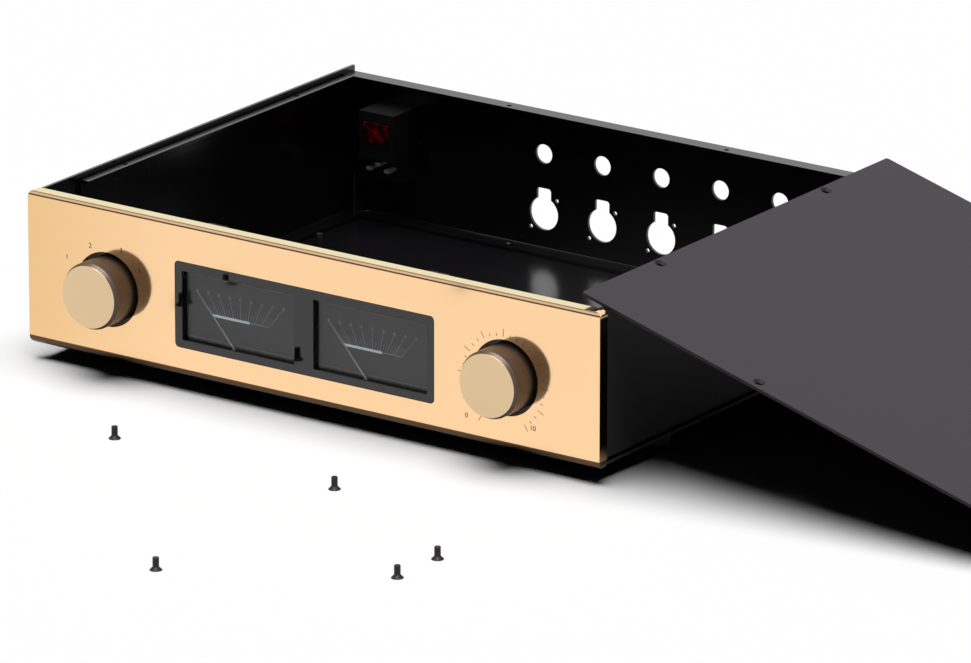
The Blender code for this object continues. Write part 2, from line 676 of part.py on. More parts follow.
def make_foot(name, spot, look):
    """A moulded foot whose stud passes up through the bottom plate."""
    shape = bmesh.new()
    top = -SEAT_GAP
    profile = [
        (0, GROUND_Z),
        (FOOT_BASE_RADIUS - FOOT_EDGE, GROUND_Z),
        (FOOT_BASE_RADIUS, GROUND_Z + FOOT_EDGE),
        (FOOT_TOP_RADIUS, top),
        (FOOT_STUD_RADIUS, top),
        (FOOT_STUD_RADIUS, FOOT_STUD_LENGTH),
        (0, FOOT_STUD_LENGTH),
    ]
    add_turned(shape, "Z", spot, profile, HOLE_STEPS)
    finish(f"{name}_foot", shape, look)


def add_pan_screw(shape, axis, centre, head_radius, head_height, radius, seat, facing, length):
    """A domed head on one side of its seat and a plain shank on the other."""
    dome = [
        (head_radius * math.cos(math.radians(angle)), seat + facing * head_height * rise)
        for angle, rise in ((0, 0), (20, 0.5), (50, 0.85))
    ]
    profile = [(0, seat + facing * head_height)] + dome[::-1]
    profile += [(radius, seat), (radius, seat - facing * length), (0, seat - facing * length)]
    add_turned(shape, axis, centre, profile, SMALL_STEPS)


def make_bottom_screw(side, spot, look):
    shape = bmesh.new()
    seat = FLANGE_TOP_Z + SEAT_GAP
    add_pan_screw(
        shape,
        "Z",
        spot,
        SHEET_SCREW_HEAD_RADIUS,
        SHEET_SCREW_HEAD_HEIGHT,
        SHEET_SCREW_RADIUS,
        seat,
        1,
        seat,
    )
    finish(f"bottom_screw_{side}", shape, look)


# Cover


def cover_lean():
    """The leaning cover's slope: it rests on the right side panel's top edge and on the ground."""
    rise = PANEL_HEIGHT + SEAT_GAP - GROUND_Z
    return math.asin(rise / (COVER_WIDTH - COVER_OVERHANG))


def cover_hole_spots():
    """From the middle of the cover's left edge (x) and front edge (y)."""
    spots = [
        (x, y)
        for x in (COVER_SIDE_MARGIN, COVER_WIDTH - COVER_SIDE_MARGIN)
        for y in COVER_SIDE_HOLES
    ]
    spots += [
        (COVER_WIDTH / 2 + x, y)
        for x in COVER_END_HOLE_XS.values()
        for y in (COVER_FRONT_MARGIN, COVER_LENGTH - COVER_REAR_MARGIN)
    ]
    return spots


def make_top_cover(look):
    """The cover, taken off and leant on the right side panel with its lower edge on the ground."""
    shape = bmesh.new()
    middle = (COVER_WIDTH / 2, COVER_LENGTH / 2)
    outline = rounded_rectangle(middle, COVER_WIDTH, COVER_LENGTH, COVER_CORNER, 3)
    add_prism(shape, "Z", outline, 0, COVER_THICKNESS)
    cover = finish("top_cover", shape, look)

    sunk = bmesh.new()
    through = COVER_SCREW_SHANK / 2 + SCREW_GAP
    wide = COVER_SCREW_HEAD / 2 + SCREW_GAP / 2
    top = COVER_THICKNESS
    cone_foot = top - (wide - through)
    for spot in cover_hole_spots():
        profile = [
            (0, -CUT_PAST),
            (through, -CUT_PAST),
            (through, cone_foot),
            (wide, top),
            (wide, top + CUT_PAST),
            (0, top + CUT_PAST),
        ]
        add_turned(sunk, "Z", spot, profile, SCREW_STEPS)
    cutter = boolean(cover, "cover_screw_holes", sunk)

    lean = cover_lean()
    rest = Vector((OUTER_X, 0, PANEL_HEIGHT + SEAT_GAP))
    down_slope = Vector((math.cos(lean), 0, -math.sin(lean)))
    corner = rest - COVER_OVERHANG * down_slope
    corner.y = BEHIND_PANEL_Y + COVER_SLIDE
    for piece in (cover, cutter):
        piece.rotation_euler = (0, lean, 0)
        piece.location = corner


def make_loose_screw(number, spot, look):
    """A countersunk cover screw that stands on its head."""
    x, ahead = spot
    centre = (x, FACE_Y - ahead)
    head, shank = COVER_SCREW_HEAD / 2, COVER_SCREW_SHANK / 2
    rim = 0.3 * MM
    profile = [
        (0, GROUND_Z),
        (head, GROUND_Z),
        (head, GROUND_Z + rim),
        (shank, GROUND_Z + COVER_SCREW_HEAD_DEPTH),
        (shank, GROUND_Z + COVER_SCREW_LENGTH - rim),
        (shank - rim, GROUND_Z + COVER_SCREW_LENGTH),
        (0, GROUND_Z + COVER_SCREW_LENGTH),
    ]
    shape = bmesh.new()
    add_turned(shape, "Z", centre, profile, SCREW_STEPS)
    screw = finish(f"loose_cover_screw_{number}", shape, look)
    socket = hexagon(centre, COVER_SCREW_SOCKET)
    cut_prisms(
        screw,
        f"screw_socket_{number}",
        "Z",
        [socket],
        GROUND_Z - CUT_PAST,
        GROUND_Z + COVER_SCREW_SOCKET_DEPTH,
    )


# Knobs and what they turn


def make_knob(control, look):
    """A plain turned knob, hollow at the back round the bushing, with a radial hole for its grub screw."""
    centre = (KNOB_XS[control], CONTROL_HEIGHT)
    bore = SHAFT_RADIUS + SEAT_GAP
    pocket_y = KNOB_BACK_Y - KNOB_POCKET_DEPTH
    bore_end_y = KNOB_FRONT_Y + KNOB_FACE_WALL
    profile = [
        (0, KNOB_FRONT_Y),
        (KNOB_RADIUS - KNOB_EDGE, KNOB_FRONT_Y),
        (KNOB_RADIUS, KNOB_FRONT_Y + KNOB_EDGE),
        (KNOB_RADIUS, KNOB_BACK_Y - KNOB_EDGE),
        (KNOB_RADIUS - KNOB_EDGE, KNOB_BACK_Y),
        (KNOB_POCKET_RADIUS, KNOB_BACK_Y),
        (KNOB_POCKET_RADIUS, pocket_y),
        (bore, pocket_y),
        (bore, bore_end_y),
        (0, bore_end_y),
    ]
    shape = bmesh.new()
    add_turned(shape, "Y", centre, profile)
    knob = finish(f"{control}_knob", shape, look)
    grub = (centre[0], (pocket_y + bore_end_y) / 2)
    hole = bmesh.new()
    add_cylinder(
        hole,
        "Z",
        grub,
        GRUB_RADIUS + SCREW_GAP,
        CONTROL_HEIGHT - KNOB_RADIUS - CUT_PAST,
        CONTROL_HEIGHT,
        SMALL_STEPS,
    )
    boolean(knob, f"{control}_grub_hole", hole)
    return knob


def make_grub_screw(control, look):
    tip = CONTROL_HEIGHT - SHAFT_RADIUS - SEAT_GAP
    y = (KNOB_BACK_Y - KNOB_POCKET_DEPTH + KNOB_FRONT_Y + KNOB_FACE_WALL) / 2
    shape = bmesh.new()
    add_cylinder(shape, "Z", (KNOB_XS[control], y), GRUB_RADIUS, tip - GRUB_LENGTH, tip, SMALL_STEPS)
    return finish(f"{control}_grub_screw", shape, look)


def make_shaft(control, look):
    start = KNOB_FRONT_Y + KNOB_FACE_WALL + SEAT_GAP
    end = SUBPANEL_BACK_Y + SHAFT_IN_BODY
    shape = bmesh.new()
    add_cylinder(shape, "Y", (KNOB_XS[control], CONTROL_HEIGHT), SHAFT_RADIUS, start, end)
    return finish(f"{control}_shaft", shape, look)


def make_nut(control, look):
    """The hexagon nut that holds a control's bushing in the inner panel."""
    centre = (KNOB_XS[control], CONTROL_HEIGHT)
    back = BEHIND_PANEL_Y - SEAT_GAP
    shape = bmesh.new()
    add_prism(shape, "Y", hexagon(centre, NUT_ACROSS), back - NUT_THICKNESS, back)
    nut = finish(f"{control}_nut", shape, look)
    hole = circle(centre, BUSHING_RADIUS + SCREW_GAP, HOLE_STEPS)
    cut_prisms(
        nut, f"{control}_nut_hole", "Y", [hole], back - NUT_THICKNESS - CUT_PAST, back + CUT_PAST
    )


def control_profile(body):
    """A threaded bushing with the shaft's hole in it, then the body's own steps."""
    hole = SHAFT_RADIUS + HOLE_GAP
    start = SUBPANEL_BACK_Y + SEAT_GAP
    profile = [
        (0, SUBPANEL_BACK_Y + SHAFT_IN_BODY + SEAT_GAP),
        (hole, SUBPANEL_BACK_Y + SHAFT_IN_BODY + SEAT_GAP),
        (hole, BUSHING_FRONT_Y),
        (BUSHING_RADIUS, BUSHING_FRONT_Y),
        (BUSHING_RADIUS, start),
    ]
    return profile + [(radius, start + along) for radius, along in body]


def make_volume_pot(look):
    """A potentiometer: a round can with three solder tags below it."""
    centre = (KNOB_XS["volume"], CONTROL_HEIGHT)
    shape = bmesh.new()
    body = [(POT_RADIUS, 0), (POT_RADIUS, POT_DEPTH), (0, POT_DEPTH)]
    add_turned(shape, "Y", centre, control_profile(body), HOLE_STEPS)
    pot = finish("volume_pot", shape, look)
    tags = bmesh.new()
    tag_y = SUBPANEL_BACK_Y + POT_DEPTH / 4
    for step in (-1, 0, 1):
        x = centre[0] + step * 2 * TERMINAL_WIDTH
        add_box(
            tags,
            (x - TERMINAL_WIDTH / 2, tag_y, CONTROL_HEIGHT - POT_RADIUS - TAG_REACH),
            (x + TERMINAL_WIDTH / 2, tag_y + TERMINAL_THICKNESS, CONTROL_HEIGHT - POT_RADIUS / 2),
        )
    boolean(pot, "pot_tags", tags, "UNION")


def make_selector_switch(look):
    """A rotary switch: an indexing frame and a stack of round wafers with tags at their edges."""
    centre = (KNOB_XS["selector"], CONTROL_HEIGHT)
    body = [(SWITCH_RADIUS, 0), (SWITCH_RADIUS, SWITCH_FRAME_DEPTH)]
    wafer_ys = []
    along = SWITCH_FRAME_DEPTH
    for _ in range(WAFER_COUNT):
        body.append((WAFER_CORE_RADIUS, along))
        along += WAFER_SPACING - WAFER_THICKNESS
        body += [(WAFER_CORE_RADIUS, along), (WAFER_RADIUS, along)]
        wafer_ys.append(SUBPANEL_BACK_Y + SEAT_GAP + along)
        along += WAFER_THICKNESS
        body.append((WAFER_RADIUS, along))
    body.append((0, along))
    shape = bmesh.new()
    add_turned(shape, "Y", centre, control_profile(body), HOLE_STEPS)
    switch = finish("selector_switch", shape, look)
    tags = bmesh.new()
    for y in wafer_ys:
        low = y + (WAFER_THICKNESS - TERMINAL_THICKNESS) / 2
        for angle in range(0, 360, 45):
            turn = math.radians(angle)
            out = Vector((math.cos(turn), math.sin(turn)))
            side = Vector((-out.y, out.x)) * TERMINAL_WIDTH / 2
            root = Vector(centre) + out * (WAFER_RADIUS - TERMINAL_WIDTH)
            tip = Vector(centre) + out * (WAFER_RADIUS + WAFER_TAG_REACH)
            outline = [tuple(root - side), tuple(tip - side), tuple(tip + side), tuple(root + side)]
            add_prism(tags, "Y", outline, low, low + TERMINAL_THICKNESS)
    boolean(switch, "switch_tags", tags, "UNION")


# Meters


def make_meter_bezel(look):
    """The dark frame that fills the opening, with a window for each meter."""
    middle = (LAYOUT_SHIFT, OPENING_MIDDLE_Z)
    width, height = OPENING_WIDTH - 2 * SEAT_GAP, OPENING_HEIGHT - 2 * SEAT_GAP
    shape = bmesh.new()
    outline = rounded_rectangle(middle, width, height, OPENING_CORNER - SEAT_GAP)
    add_prism(shape, "Y", outline, BEZEL_FRONT_Y, BEZEL_BACK_Y)
    bezel = finish("meter_bezel", shape, look)
    holes = [
        rounded_rectangle((x, WINDOW_MIDDLE_Z), WINDOW_WIDTH, WINDOW_HEIGHT, WINDOW_CORNER, 3)
        for x in METER_XS.values()
    ]
    cut_prisms(
        bezel, "bezel_windows", "Y", holes, BEZEL_FRONT_Y - CUT_PAST, BEZEL_BACK_Y + CUT_PAST
    )


def make_meter_lens(side, look):
    x = METER_XS[side]
    shape = bmesh.new()
    add_box(
        shape,
        (x - CASE_WIDTH / 2, LENS_FRONT_Y, CASE_BOTTOM_Z),
        (x + CASE_WIDTH / 2, LENS_FRONT_Y + LENS_THICKNESS, CASE_TOP_Z),
    )
    finish(f"{side}_meter_lens", shape, look)


def pivot_spot(side):
    return (METER_XS[side] + PIVOT_SHIFT, PIVOT_Z)


def case_cavity(side):
    """Low and high corners of the case's cavity: flush with the window, but deep enough for the hub."""
    x, half = METER_XS[side], WINDOW_WIDTH / 2
    return (x - half, CASE_BOTTOM_Z + CASE_WALL), (x + half, WINDOW_TOP_Z)


def make_meter_case(side, look):
    """A moulded case, open at the front, with the magnet's round housing and two studs behind."""
    x = METER_XS[side]
    back = CASE_RIM_Y + CASE_DEPTH
    shape = bmesh.new()
    add_box(
        shape, (x - CASE_WIDTH / 2, CASE_RIM_Y, CASE_BOTTOM_Z), (x + CASE_WIDTH / 2, back, CASE_TOP_Z)
    )
    case = finish(f"{side}_meter_case", shape, look)

    middle = (x, (CASE_BOTTOM_Z + CASE_TOP_Z) / 2)
    housing = bmesh.new()
    add_cylinder(housing, "Y", middle, MAGNET_RADIUS, back - CUT_PAST, back + MAGNET_DEPTH)
    boolean(case, f"{side}_magnet_housing", housing, "UNION")
    studs = bmesh.new()
    for sign in (-1, 1):
        spot = (x + sign * METER_STUD_SPACING, middle[1])
        add_cylinder(
            studs, "Y", spot, METER_STUD_RADIUS, back - CUT_PAST, back + METER_STUD_LENGTH, SMALL_STEPS
        )
    boolean(case, f"{side}_meter_studs", studs, "UNION")

    cavity = rectangle(*case_cavity(side))
    cut_prisms(case, f"{side}_case_cavity", "Y", [cavity], CASE_RIM_Y - CUT_PAST, CASE_FLOOR_Y)
    bearing = circle(pivot_spot(side), PIVOT_RADIUS + HOLE_GAP, SMALL_STEPS)
    depth = DIAL_FRONT_Y + PIVOT_DEPTH + SEAT_GAP
    cut_prisms(case, f"{side}_case_bearing", "Y", [bearing], CASE_RIM_Y - CUT_PAST, depth)


def make_meter_dial(side, look):
    """A thin plate that fills the case's cavity, with a hole for the needle's pivot."""
    low, high = case_cavity(side)
    shape = bmesh.new()
    add_box(
        shape,
        (low[0] + SEAT_GAP, DIAL_FRONT_Y, low[1] + SEAT_GAP),
        (high[0] - SEAT_GAP, DIAL_FRONT_Y + DIAL_THICKNESS, high[1] - SEAT_GAP),
    )
    dial = finish(f"{side}_meter_dial", shape, look)
    hole = circle(pivot_spot(side), PIVOT_RADIUS + HOLE_GAP, SMALL_STEPS)
    cut_prisms(
        dial,
        f"{side}_dial_hole",
        "Y",
        [hole],
        DIAL_FRONT_Y - DIAL_THICKNESS / 2,
        DIAL_FRONT_Y + 2 * DIAL_THICKNESS,
    )


def make_meter_needle(side, look):
    """A tapered pointer on a hub whose pivot runs back through the dial."""
    lean = math.radians(NEEDLE_REST)
    along = Vector((-math.sin(lean), math.cos(lean)))
    across = Vector((along.y, -along.x))
    pivot = Vector(pivot_spot(side))
    root = pivot + HUB_RADIUS / 2 * along
    tip = pivot + NEEDLE_LENGTH * along
    outline = [
        root - NEEDLE_ROOT_WIDTH / 2 * across,
        root + NEEDLE_ROOT_WIDTH / 2 * across,
        tip + NEEDLE_TIP_WIDTH / 2 * across,
        tip - NEEDLE_TIP_WIDTH / 2 * across,
    ]
    back = DIAL_FRONT_Y - NEEDLE_GAP
    middle = back - HUB_THICKNESS / 2
    shape = bmesh.new()
    add_turned(
        shape,
        "Y",
        tuple(pivot),
        [
            (0, back - HUB_THICKNESS),
            (HUB_RADIUS, back - HUB_THICKNESS),
            (HUB_RADIUS, back),
            (PIVOT_RADIUS, back),
            (PIVOT_RADIUS, DIAL_FRONT_Y + PIVOT_DEPTH),
            (0, DIAL_FRONT_Y + PIVOT_DEPTH),
        ],
        SMALL_STEPS,
    )
    needle = finish(f"{side}_meter_needle", shape, look)
    pointer = bmesh.new()
    add_prism(
        pointer,
        "Y",
        [tuple(spot) for spot in outline],
        middle - NEEDLE_THICKNESS / 2,
        middle + NEEDLE_THICKNESS / 2,
    )
    tool = boolean(needle, f"{side}_pointer", pointer, "UNION")
    for piece in (needle, tool):
        set_origin(piece, (pivot.x, middle, PIVOT_Z))


# Power inlet


def inlet_screw_spots():
    z = (INLET_BOTTOM + INLET_TOP) / 2
    reach = INLET_WIDTH / 2 + INLET_EAR / 2 + SEAT_GAP
    return [(INLET_X - reach, z), (INLET_X + reach, z)]


def socket_centre():
    return (INLET_X, INLET_BOTTOM + SOCKET_RISE + SOCKET_HEIGHT / 2)


def socket_outline():
    """A rectangle whose two upper corners are cut off."""
    x, z = socket_centre()
    w, h, c = SOCKET_WIDTH / 2, SOCKET_HEIGHT / 2, SOCKET_CHAMFER
    lower = [(x - w, z - h), (x + w, z - h)]
    upper = [(x + w, z + h - c), (x + w - c, z + h), (x - w + c, z + h), (x - w, z + h - c)]
    return lower + upper


def pin_spots():
    x, z = socket_centre()
    return {
        "live": (x - PIN_SPACING, z - PIN_DROP),
        "earth": (x, z + PIN_DROP),
        "neutral": (x + PIN_SPACING, z - PIN_DROP),
    }


def rocker_opening(gap):
    half_width = ROCKER_WIDTH / 2 + gap
    half_height = ROCKER_HEIGHT / 2 + gap
    return rectangle(
        (INLET_X - half_width, ROCKER_CENTRE_Z - half_height),
        (INLET_X + half_width, ROCKER_CENTRE_Z + half_height),
    )


def make_inlet_housing(look):
    """The moulded inlet: a flange outside the rear panel and a stepped body inside it."""
    outside = REAR_Y + SEAT_GAP
    front = outside + INLET_FLANGE_THICKNESS
    left, right = INLET_X - INLET_WIDTH / 2, INLET_X + INLET_WIDTH / 2
    step_z = INLET_BOTTOM + INLET_STEP_RISE
    section = [
        (front - INLET_FLANGE_THICKNESS / 2, INLET_BOTTOM),
        (REAR_INNER_Y - INLET_LOW_DEPTH, INLET_BOTTOM),
        (REAR_INNER_Y - INLET_LOW_DEPTH, step_z),
        (REAR_INNER_Y - INLET_DEPTH, step_z),
        (REAR_INNER_Y - INLET_DEPTH, INLET_TOP),
        (front - INLET_FLANGE_THICKNESS / 2, INLET_TOP),
    ]
    shape = bmesh.new()
    add_prism(shape, "X", section, left, right)
    housing = finish("inlet_housing", shape, look)

    flange = bmesh.new()
    middle = (INLET_X, (INLET_BOTTOM + INLET_TOP) / 2)
    height = INLET_TOP - INLET_BOTTOM + 2 * INLET_FLANGE_MARGIN
    width = INLET_WIDTH + 2 * INLET_EAR
    add_prism(
        flange, "Y", rounded_rectangle(middle, width, height, INLET_FLANGE_MARGIN, 4), outside, front
    )
    boolean(housing, "inlet_flange", flange, "UNION")
    cut_prisms(
        housing, "inlet_socket", "Y", [socket_outline()], front - SOCKET_DEPTH, front + CUT_PAST
    )
    slots = [
        rectangle(
            (x - PIN_WIDTH / 2 - SEAT_GAP, z - PIN_THICKNESS / 2 - SEAT_GAP),
            (x + PIN_WIDTH / 2 + SEAT_GAP, z + PIN_THICKNESS / 2 + SEAT_GAP),
        )
        for x, z in pin_spots().values()
    ]
    low = REAR_INNER_Y - INLET_LOW_DEPTH - CUT_PAST
    cut_prisms(housing, "inlet_pin_slots", "Y", slots, low, front - SOCKET_DEPTH + CUT_PAST)
    well = rocker_opening(ROCKER_SWEEP_GAP)
    cut_prisms(housing, "rocker_well", "Y", [well], front - ROCKER_WELL, front + CUT_PAST)
    barrel = rocker_opening(SEAT_GAP)
    cut_prisms(
        housing,
        "barrel_hole",
        "Y",
        [barrel],
        REAR_INNER_Y - INLET_DEPTH - CUT_PAST,
        front - ROCKER_WELL + CUT_PAST,
    )
    screw_holes = [
        circle(spot, SHEET_SCREW_RADIUS + SCREW_GAP, SMALL_STEPS) for spot in inlet_screw_spots()
    ]
    cut_prisms(
        housing, "inlet_screw_holes", "Y", screw_holes, outside - CUT_PAST, front + CUT_PAST
    )


def make_inlet_pin(name, spot, look):
    """A contact that stands in the socket and ends as a blade inside the chassis."""
    x, z = spot
    front = REAR_Y + SEAT_GAP + INLET_FLANGE_THICKNESS
    shape = bmesh.new()
    add_box(
        shape,
        (
            x - PIN_WIDTH / 2,
            REAR_INNER_Y - INLET_LOW_DEPTH - BLADE_REACH,
            z - PIN_THICKNESS / 2,
        ),
        (x + PIN_WIDTH / 2, front - SOCKET_DEPTH + PIN_IN_SOCKET, z + PIN_THICKNESS / 2),
    )
    finish(f"inlet_{name}_pin", shape, look)


def make_inlet_screw(side, spot, look):
    shape = bmesh.new()
    seat = REAR_Y + 2 * SEAT_GAP + INLET_FLANGE_THICKNESS
    add_pan_screw(
        shape,
        "Y",
        spot,
        SHEET_SCREW_HEAD_RADIUS,
        SHEET_SCREW_HEAD_HEIGHT,
        SHEET_SCREW_RADIUS,
        seat,
        1,
        INLET_SCREW_LENGTH,
    )
    finish(f"inlet_screw_{side}", shape, look)


def rocker_axis():
    """The y and z of the pin that the rocker tilts on."""
    front = REAR_Y + SEAT_GAP + INLET_FLANGE_THICKNESS
    return front - ROCKER_SHELL, ROCKER_CENTRE_Z


def make_switch_barrel(look):
    """The switch's red moulded barrel behind the rocker, which shows inside the chassis."""
    front = REAR_Y + SEAT_GAP + INLET_FLANGE_THICKNESS
    shape = bmesh.new()
    add_prism(
        shape,
        "Y",
        rocker_opening(0),
        REAR_INNER_Y - INLET_DEPTH - BARREL_REACH,
        front - ROCKER_WELL - SEAT_GAP,
    )
    finish("switch_barrel", shape, look)


def make_power_rocker(look):
    """A rocker with a shallow vee face, tilted to off, on a pin that reaches its well's sides."""
    axis_y, axis_z = rocker_axis()
    half = ROCKER_HEIGHT / 2
    tip = ROCKER_CROWN + ROCKER_SHELL
    section = [
        (0, -half),
        (tip, -half),
        (tip - ROCKER_SHELL, 0),
        (tip, half),
        (0, half),
        (-ROCKER_SHELL, half / 2),
        (-ROCKER_SHELL, -half / 2),
    ]
    tilt = math.radians(ROCKER_TILT)
    turned = [
        (
            axis_y + y * math.cos(tilt) - z * math.sin(tilt),
            axis_z + y * math.sin(tilt) + z * math.cos(tilt),
        )
        for y, z in section
    ]
    shape = bmesh.new()
    add_prism(shape, "X", turned, INLET_X - ROCKER_WIDTH / 2, INLET_X + ROCKER_WIDTH / 2)
    rocker = finish("power_rocker", shape, look)
    pin = bmesh.new()
    reach = ROCKER_WIDTH / 2 + ROCKER_SWEEP_GAP - SEAT_GAP
    add_cylinder(
        pin, "X", (axis_y, axis_z), ROCKER_SHELL / 2, INLET_X - reach, INLET_X + reach, SMALL_STEPS
    )
    tool = boolean(rocker, "rocker_pin", pin, "UNION")
    for piece in (rocker, tool):
        set_origin(piece, (INLET_X, axis_y, axis_z))


def main():
    for existing in list(bpy.data.objects):
        bpy.data.objects.remove(existing, do_unlink=True)

    gold = material("champagne_gold", (0.93, 0.62, 0.33), 0.22, 1.0)
    knob_gold = material("knob_gold", (0.72, 0.60, 0.42), 0.25, 1.0)
    black = material("black_satin_coat", (0.012, 0.012, 0.013), 0.35)
    cover_grey = material("cover_coat", (0.085, 0.08, 0.085), 0.45)
    bezel_grey = material("bezel_grey", (0.06, 0.06, 0.065), 0.4)
    dial_grey = material("dial_grey", (0.05, 0.048, 0.05), 0.5)
    glass = material("clear_lens", (0.9, 0.9, 0.9), 0.05)
    plastic = material("black_plastic", (0.02, 0.02, 0.02), 0.4)
    rubber = material("foot_rubber", (0.015, 0.015, 0.015), 0.8)
    red = material("red_plastic", (0.6, 0.02, 0.02), 0.3)
    steel = material("plated_steel", (0.6, 0.6, 0.6), 0.3, 1.0)
    screw_black = material("blackened_steel", (0.03, 0.03, 0.03), 0.35, 1.0)
    needle_grey = material("needle_grey", (0.55, 0.55, 0.55), 0.4)

    make_front_panel(gold)
    make_front_subpanel(black)
    make_bottom_plate(black)
    for side, sign in (("left", -1), ("right", 1)):
        make_side_panel(side, sign, black)
        make_cover_rail(side, sign, black)
        make_cover_lug(side, black)
        for end in ("front", "rear"):
            make_corner_bracket(end, side, black)
    make_rear_panel(black)
    for name, spot in foot_spots().items():
        make_foot(name, spot, rubber)
    for side, spot in bottom_screw_spots().items():
        make_bottom_screw(side, spot, screw_black)

    make_top_cover(cover_grey)
    for number, spot in enumerate(LOOSE_SCREW_SPOTS, 1):
        make_loose_screw(number, spot, screw_black)

    for control in KNOB_XS:
        knob = make_knob(control, knob_gold)
        turning = [knob, make_grub_screw(control, screw_black), make_shaft(control, steel)]
        for piece in turning:
            set_origin(piece, (KNOB_XS[control], FACE_Y, CONTROL_HEIGHT))
        make_nut(control, steel)
    make_volume_pot(steel)
    make_selector_switch(plastic)

    make_meter_bezel(bezel_grey)
    for side in METER_XS:
        make_meter_lens(side, glass)
        make_meter_case(side, plastic)
        make_meter_dial(side, dial_grey)
        make_meter_needle(side, needle_grey)

    make_inlet_housing(plastic)
    for name, spot in pin_spots().items():
        make_inlet_pin(name, spot, steel)
    for side, spot in zip(("left", "right"), inlet_screw_spots()):
        make_inlet_screw(side, spot, screw_black)
    make_switch_barrel(red)
    make_power_rocker(red)


main()
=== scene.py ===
"""The looks of the amplifier chassis: finishes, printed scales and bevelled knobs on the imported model.

Lengths are metres, written in millimetres. The frame is the model's own: +Z up, +Y to the rear.
Colours are linear red, green and blue.
"""

import json
import math

import bmesh
import bpy
from mathutils import Matrix, Vector

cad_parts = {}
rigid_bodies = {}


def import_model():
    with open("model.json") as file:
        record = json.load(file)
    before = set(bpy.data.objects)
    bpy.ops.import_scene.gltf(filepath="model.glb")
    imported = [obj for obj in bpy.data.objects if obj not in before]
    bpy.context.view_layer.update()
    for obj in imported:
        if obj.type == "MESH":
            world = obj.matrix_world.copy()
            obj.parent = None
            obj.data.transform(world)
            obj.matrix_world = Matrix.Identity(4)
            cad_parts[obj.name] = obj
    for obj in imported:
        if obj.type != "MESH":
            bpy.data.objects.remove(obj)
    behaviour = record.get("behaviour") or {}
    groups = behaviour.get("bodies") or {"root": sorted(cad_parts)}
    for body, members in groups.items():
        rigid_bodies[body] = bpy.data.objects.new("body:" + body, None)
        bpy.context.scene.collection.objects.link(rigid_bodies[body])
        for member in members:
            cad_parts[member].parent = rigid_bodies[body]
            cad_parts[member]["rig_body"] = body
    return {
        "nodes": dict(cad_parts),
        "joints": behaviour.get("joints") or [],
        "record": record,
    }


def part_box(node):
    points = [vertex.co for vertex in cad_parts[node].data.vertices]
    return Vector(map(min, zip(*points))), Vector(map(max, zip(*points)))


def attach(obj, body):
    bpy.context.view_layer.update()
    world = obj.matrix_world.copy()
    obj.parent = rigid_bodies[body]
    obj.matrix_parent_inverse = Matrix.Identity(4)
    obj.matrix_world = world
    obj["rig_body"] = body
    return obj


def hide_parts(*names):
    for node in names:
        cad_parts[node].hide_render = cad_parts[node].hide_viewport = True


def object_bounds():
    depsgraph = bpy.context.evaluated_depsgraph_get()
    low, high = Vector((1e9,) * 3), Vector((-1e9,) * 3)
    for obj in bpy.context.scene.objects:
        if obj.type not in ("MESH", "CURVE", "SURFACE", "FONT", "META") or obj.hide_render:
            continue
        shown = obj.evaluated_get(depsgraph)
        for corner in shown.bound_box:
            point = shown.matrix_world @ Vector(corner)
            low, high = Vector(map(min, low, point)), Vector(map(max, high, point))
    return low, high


MM = 0.001

# Camera, fitted to the photograph's long edges
CAMERA_PLACE = (3.4347, -4.85625, 1.9424)
CAMERA_YAW = 35.168  # degrees from +Y towards -X
CAMERA_PITCH = 18.056  # degrees below level
CAMERA_ROLL = 0.042
CAMERA_LENS = 372.35  # millimetres
CAMERA_SENSOR = 36.0  # millimetres
CAMERA_SIGHT = 100.0  # metres that the camera sees

# One broad soft light straight overhead, which lights the floor evenly out to its edges
LAMP_ANGLE = 50.0  # degrees across, as seen from the floor
LAMP_STRENGTH = 3.2
LAMP_LEAN = 3.0  # degrees towards the front
SKY_WHITE = (1.0, 1.0, 1.0)
SKY_FOR_MATT = 0.005  # the sky's strength as matt surfaces see it

# Floor
FLOOR_REACH = 14.0  # metres from the middle to each edge
FLOOR_TONES = ((0.97, 0.97, 0.97), (0.97388, 0.97388, 0.97388))
FLOOR_FOR_MATT = (0.02, 0.02, 0.02)  # the floor as matt surfaces see it, so its shadow stays deep

# Printing on the front panel
PRINT_RAISE = 0.03 * MM
PRINT_THICKNESS = 0.05 * MM
DIGIT_SIZE = 4.6 * MM
TICK_COUNT = 31
LONG_TICK_EVERY = 3
TICK_STEP = 9.8  # degrees
TICK_FIRST = 237.0  # degrees from the right, anticlockwise
TICK_RING_PLACE = (-1.4 * MM, -2.8 * MM)  # of the ring's middle from the knob's axis
TICK_INNER = 28.6 * MM
TICK_SHORT_OUTER = 30.6 * MM
TICK_LONG_OUTER = 33.4 * MM
TICK_WIDTH = 0.32 * MM
VOLUME_NUMBERS = (  # name, text and place from the knob's axis
    ("volume_zero", "0", (-28.4 * MM, -29.2 * MM)),
    ("volume_ten", "10", (20.4 * MM, -28.2 * MM)),
)
SELECTOR_PLACES = (  # of the position numbers from the knob's axis
    (-30.9 * MM, 15.6 * MM),
    (-12.8 * MM, 26.0 * MM),
    (11.1 * MM, 27.1 * MM),
    (24.9 * MM, 16.7 * MM),
)

# Knobs: their bright turned front is ringed by a dark bevel, and the body is wider than the front
KNOB_FRONT_RADIUS = 19.9 * MM
KNOB_BODY_RADIUS = 21.3 * MM
KNOB_BEVEL = 2.6 * MM
KNOB_EDGE = 0.1 * MM  # the bright front reaches this far back
KNOB_RIM = 1.0 * MM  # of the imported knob's radius, which is shaped; the rest keeps its place
KNOB_RINGS = 5200  # turning marks, as noise cells for each metre
KNOB_FRONT_TONES = ((0.680, 0.506, 0.304), (0.757, 0.563, 0.343))
KNOB_SIDE_TONES = ((0.096, 0.074, 0.062), (0.110, 0.086, 0.072))
KNOB_FRONT_ROUGHNESS = 0.30
KNOB_SIDE_ROUGHNESS = 0.42

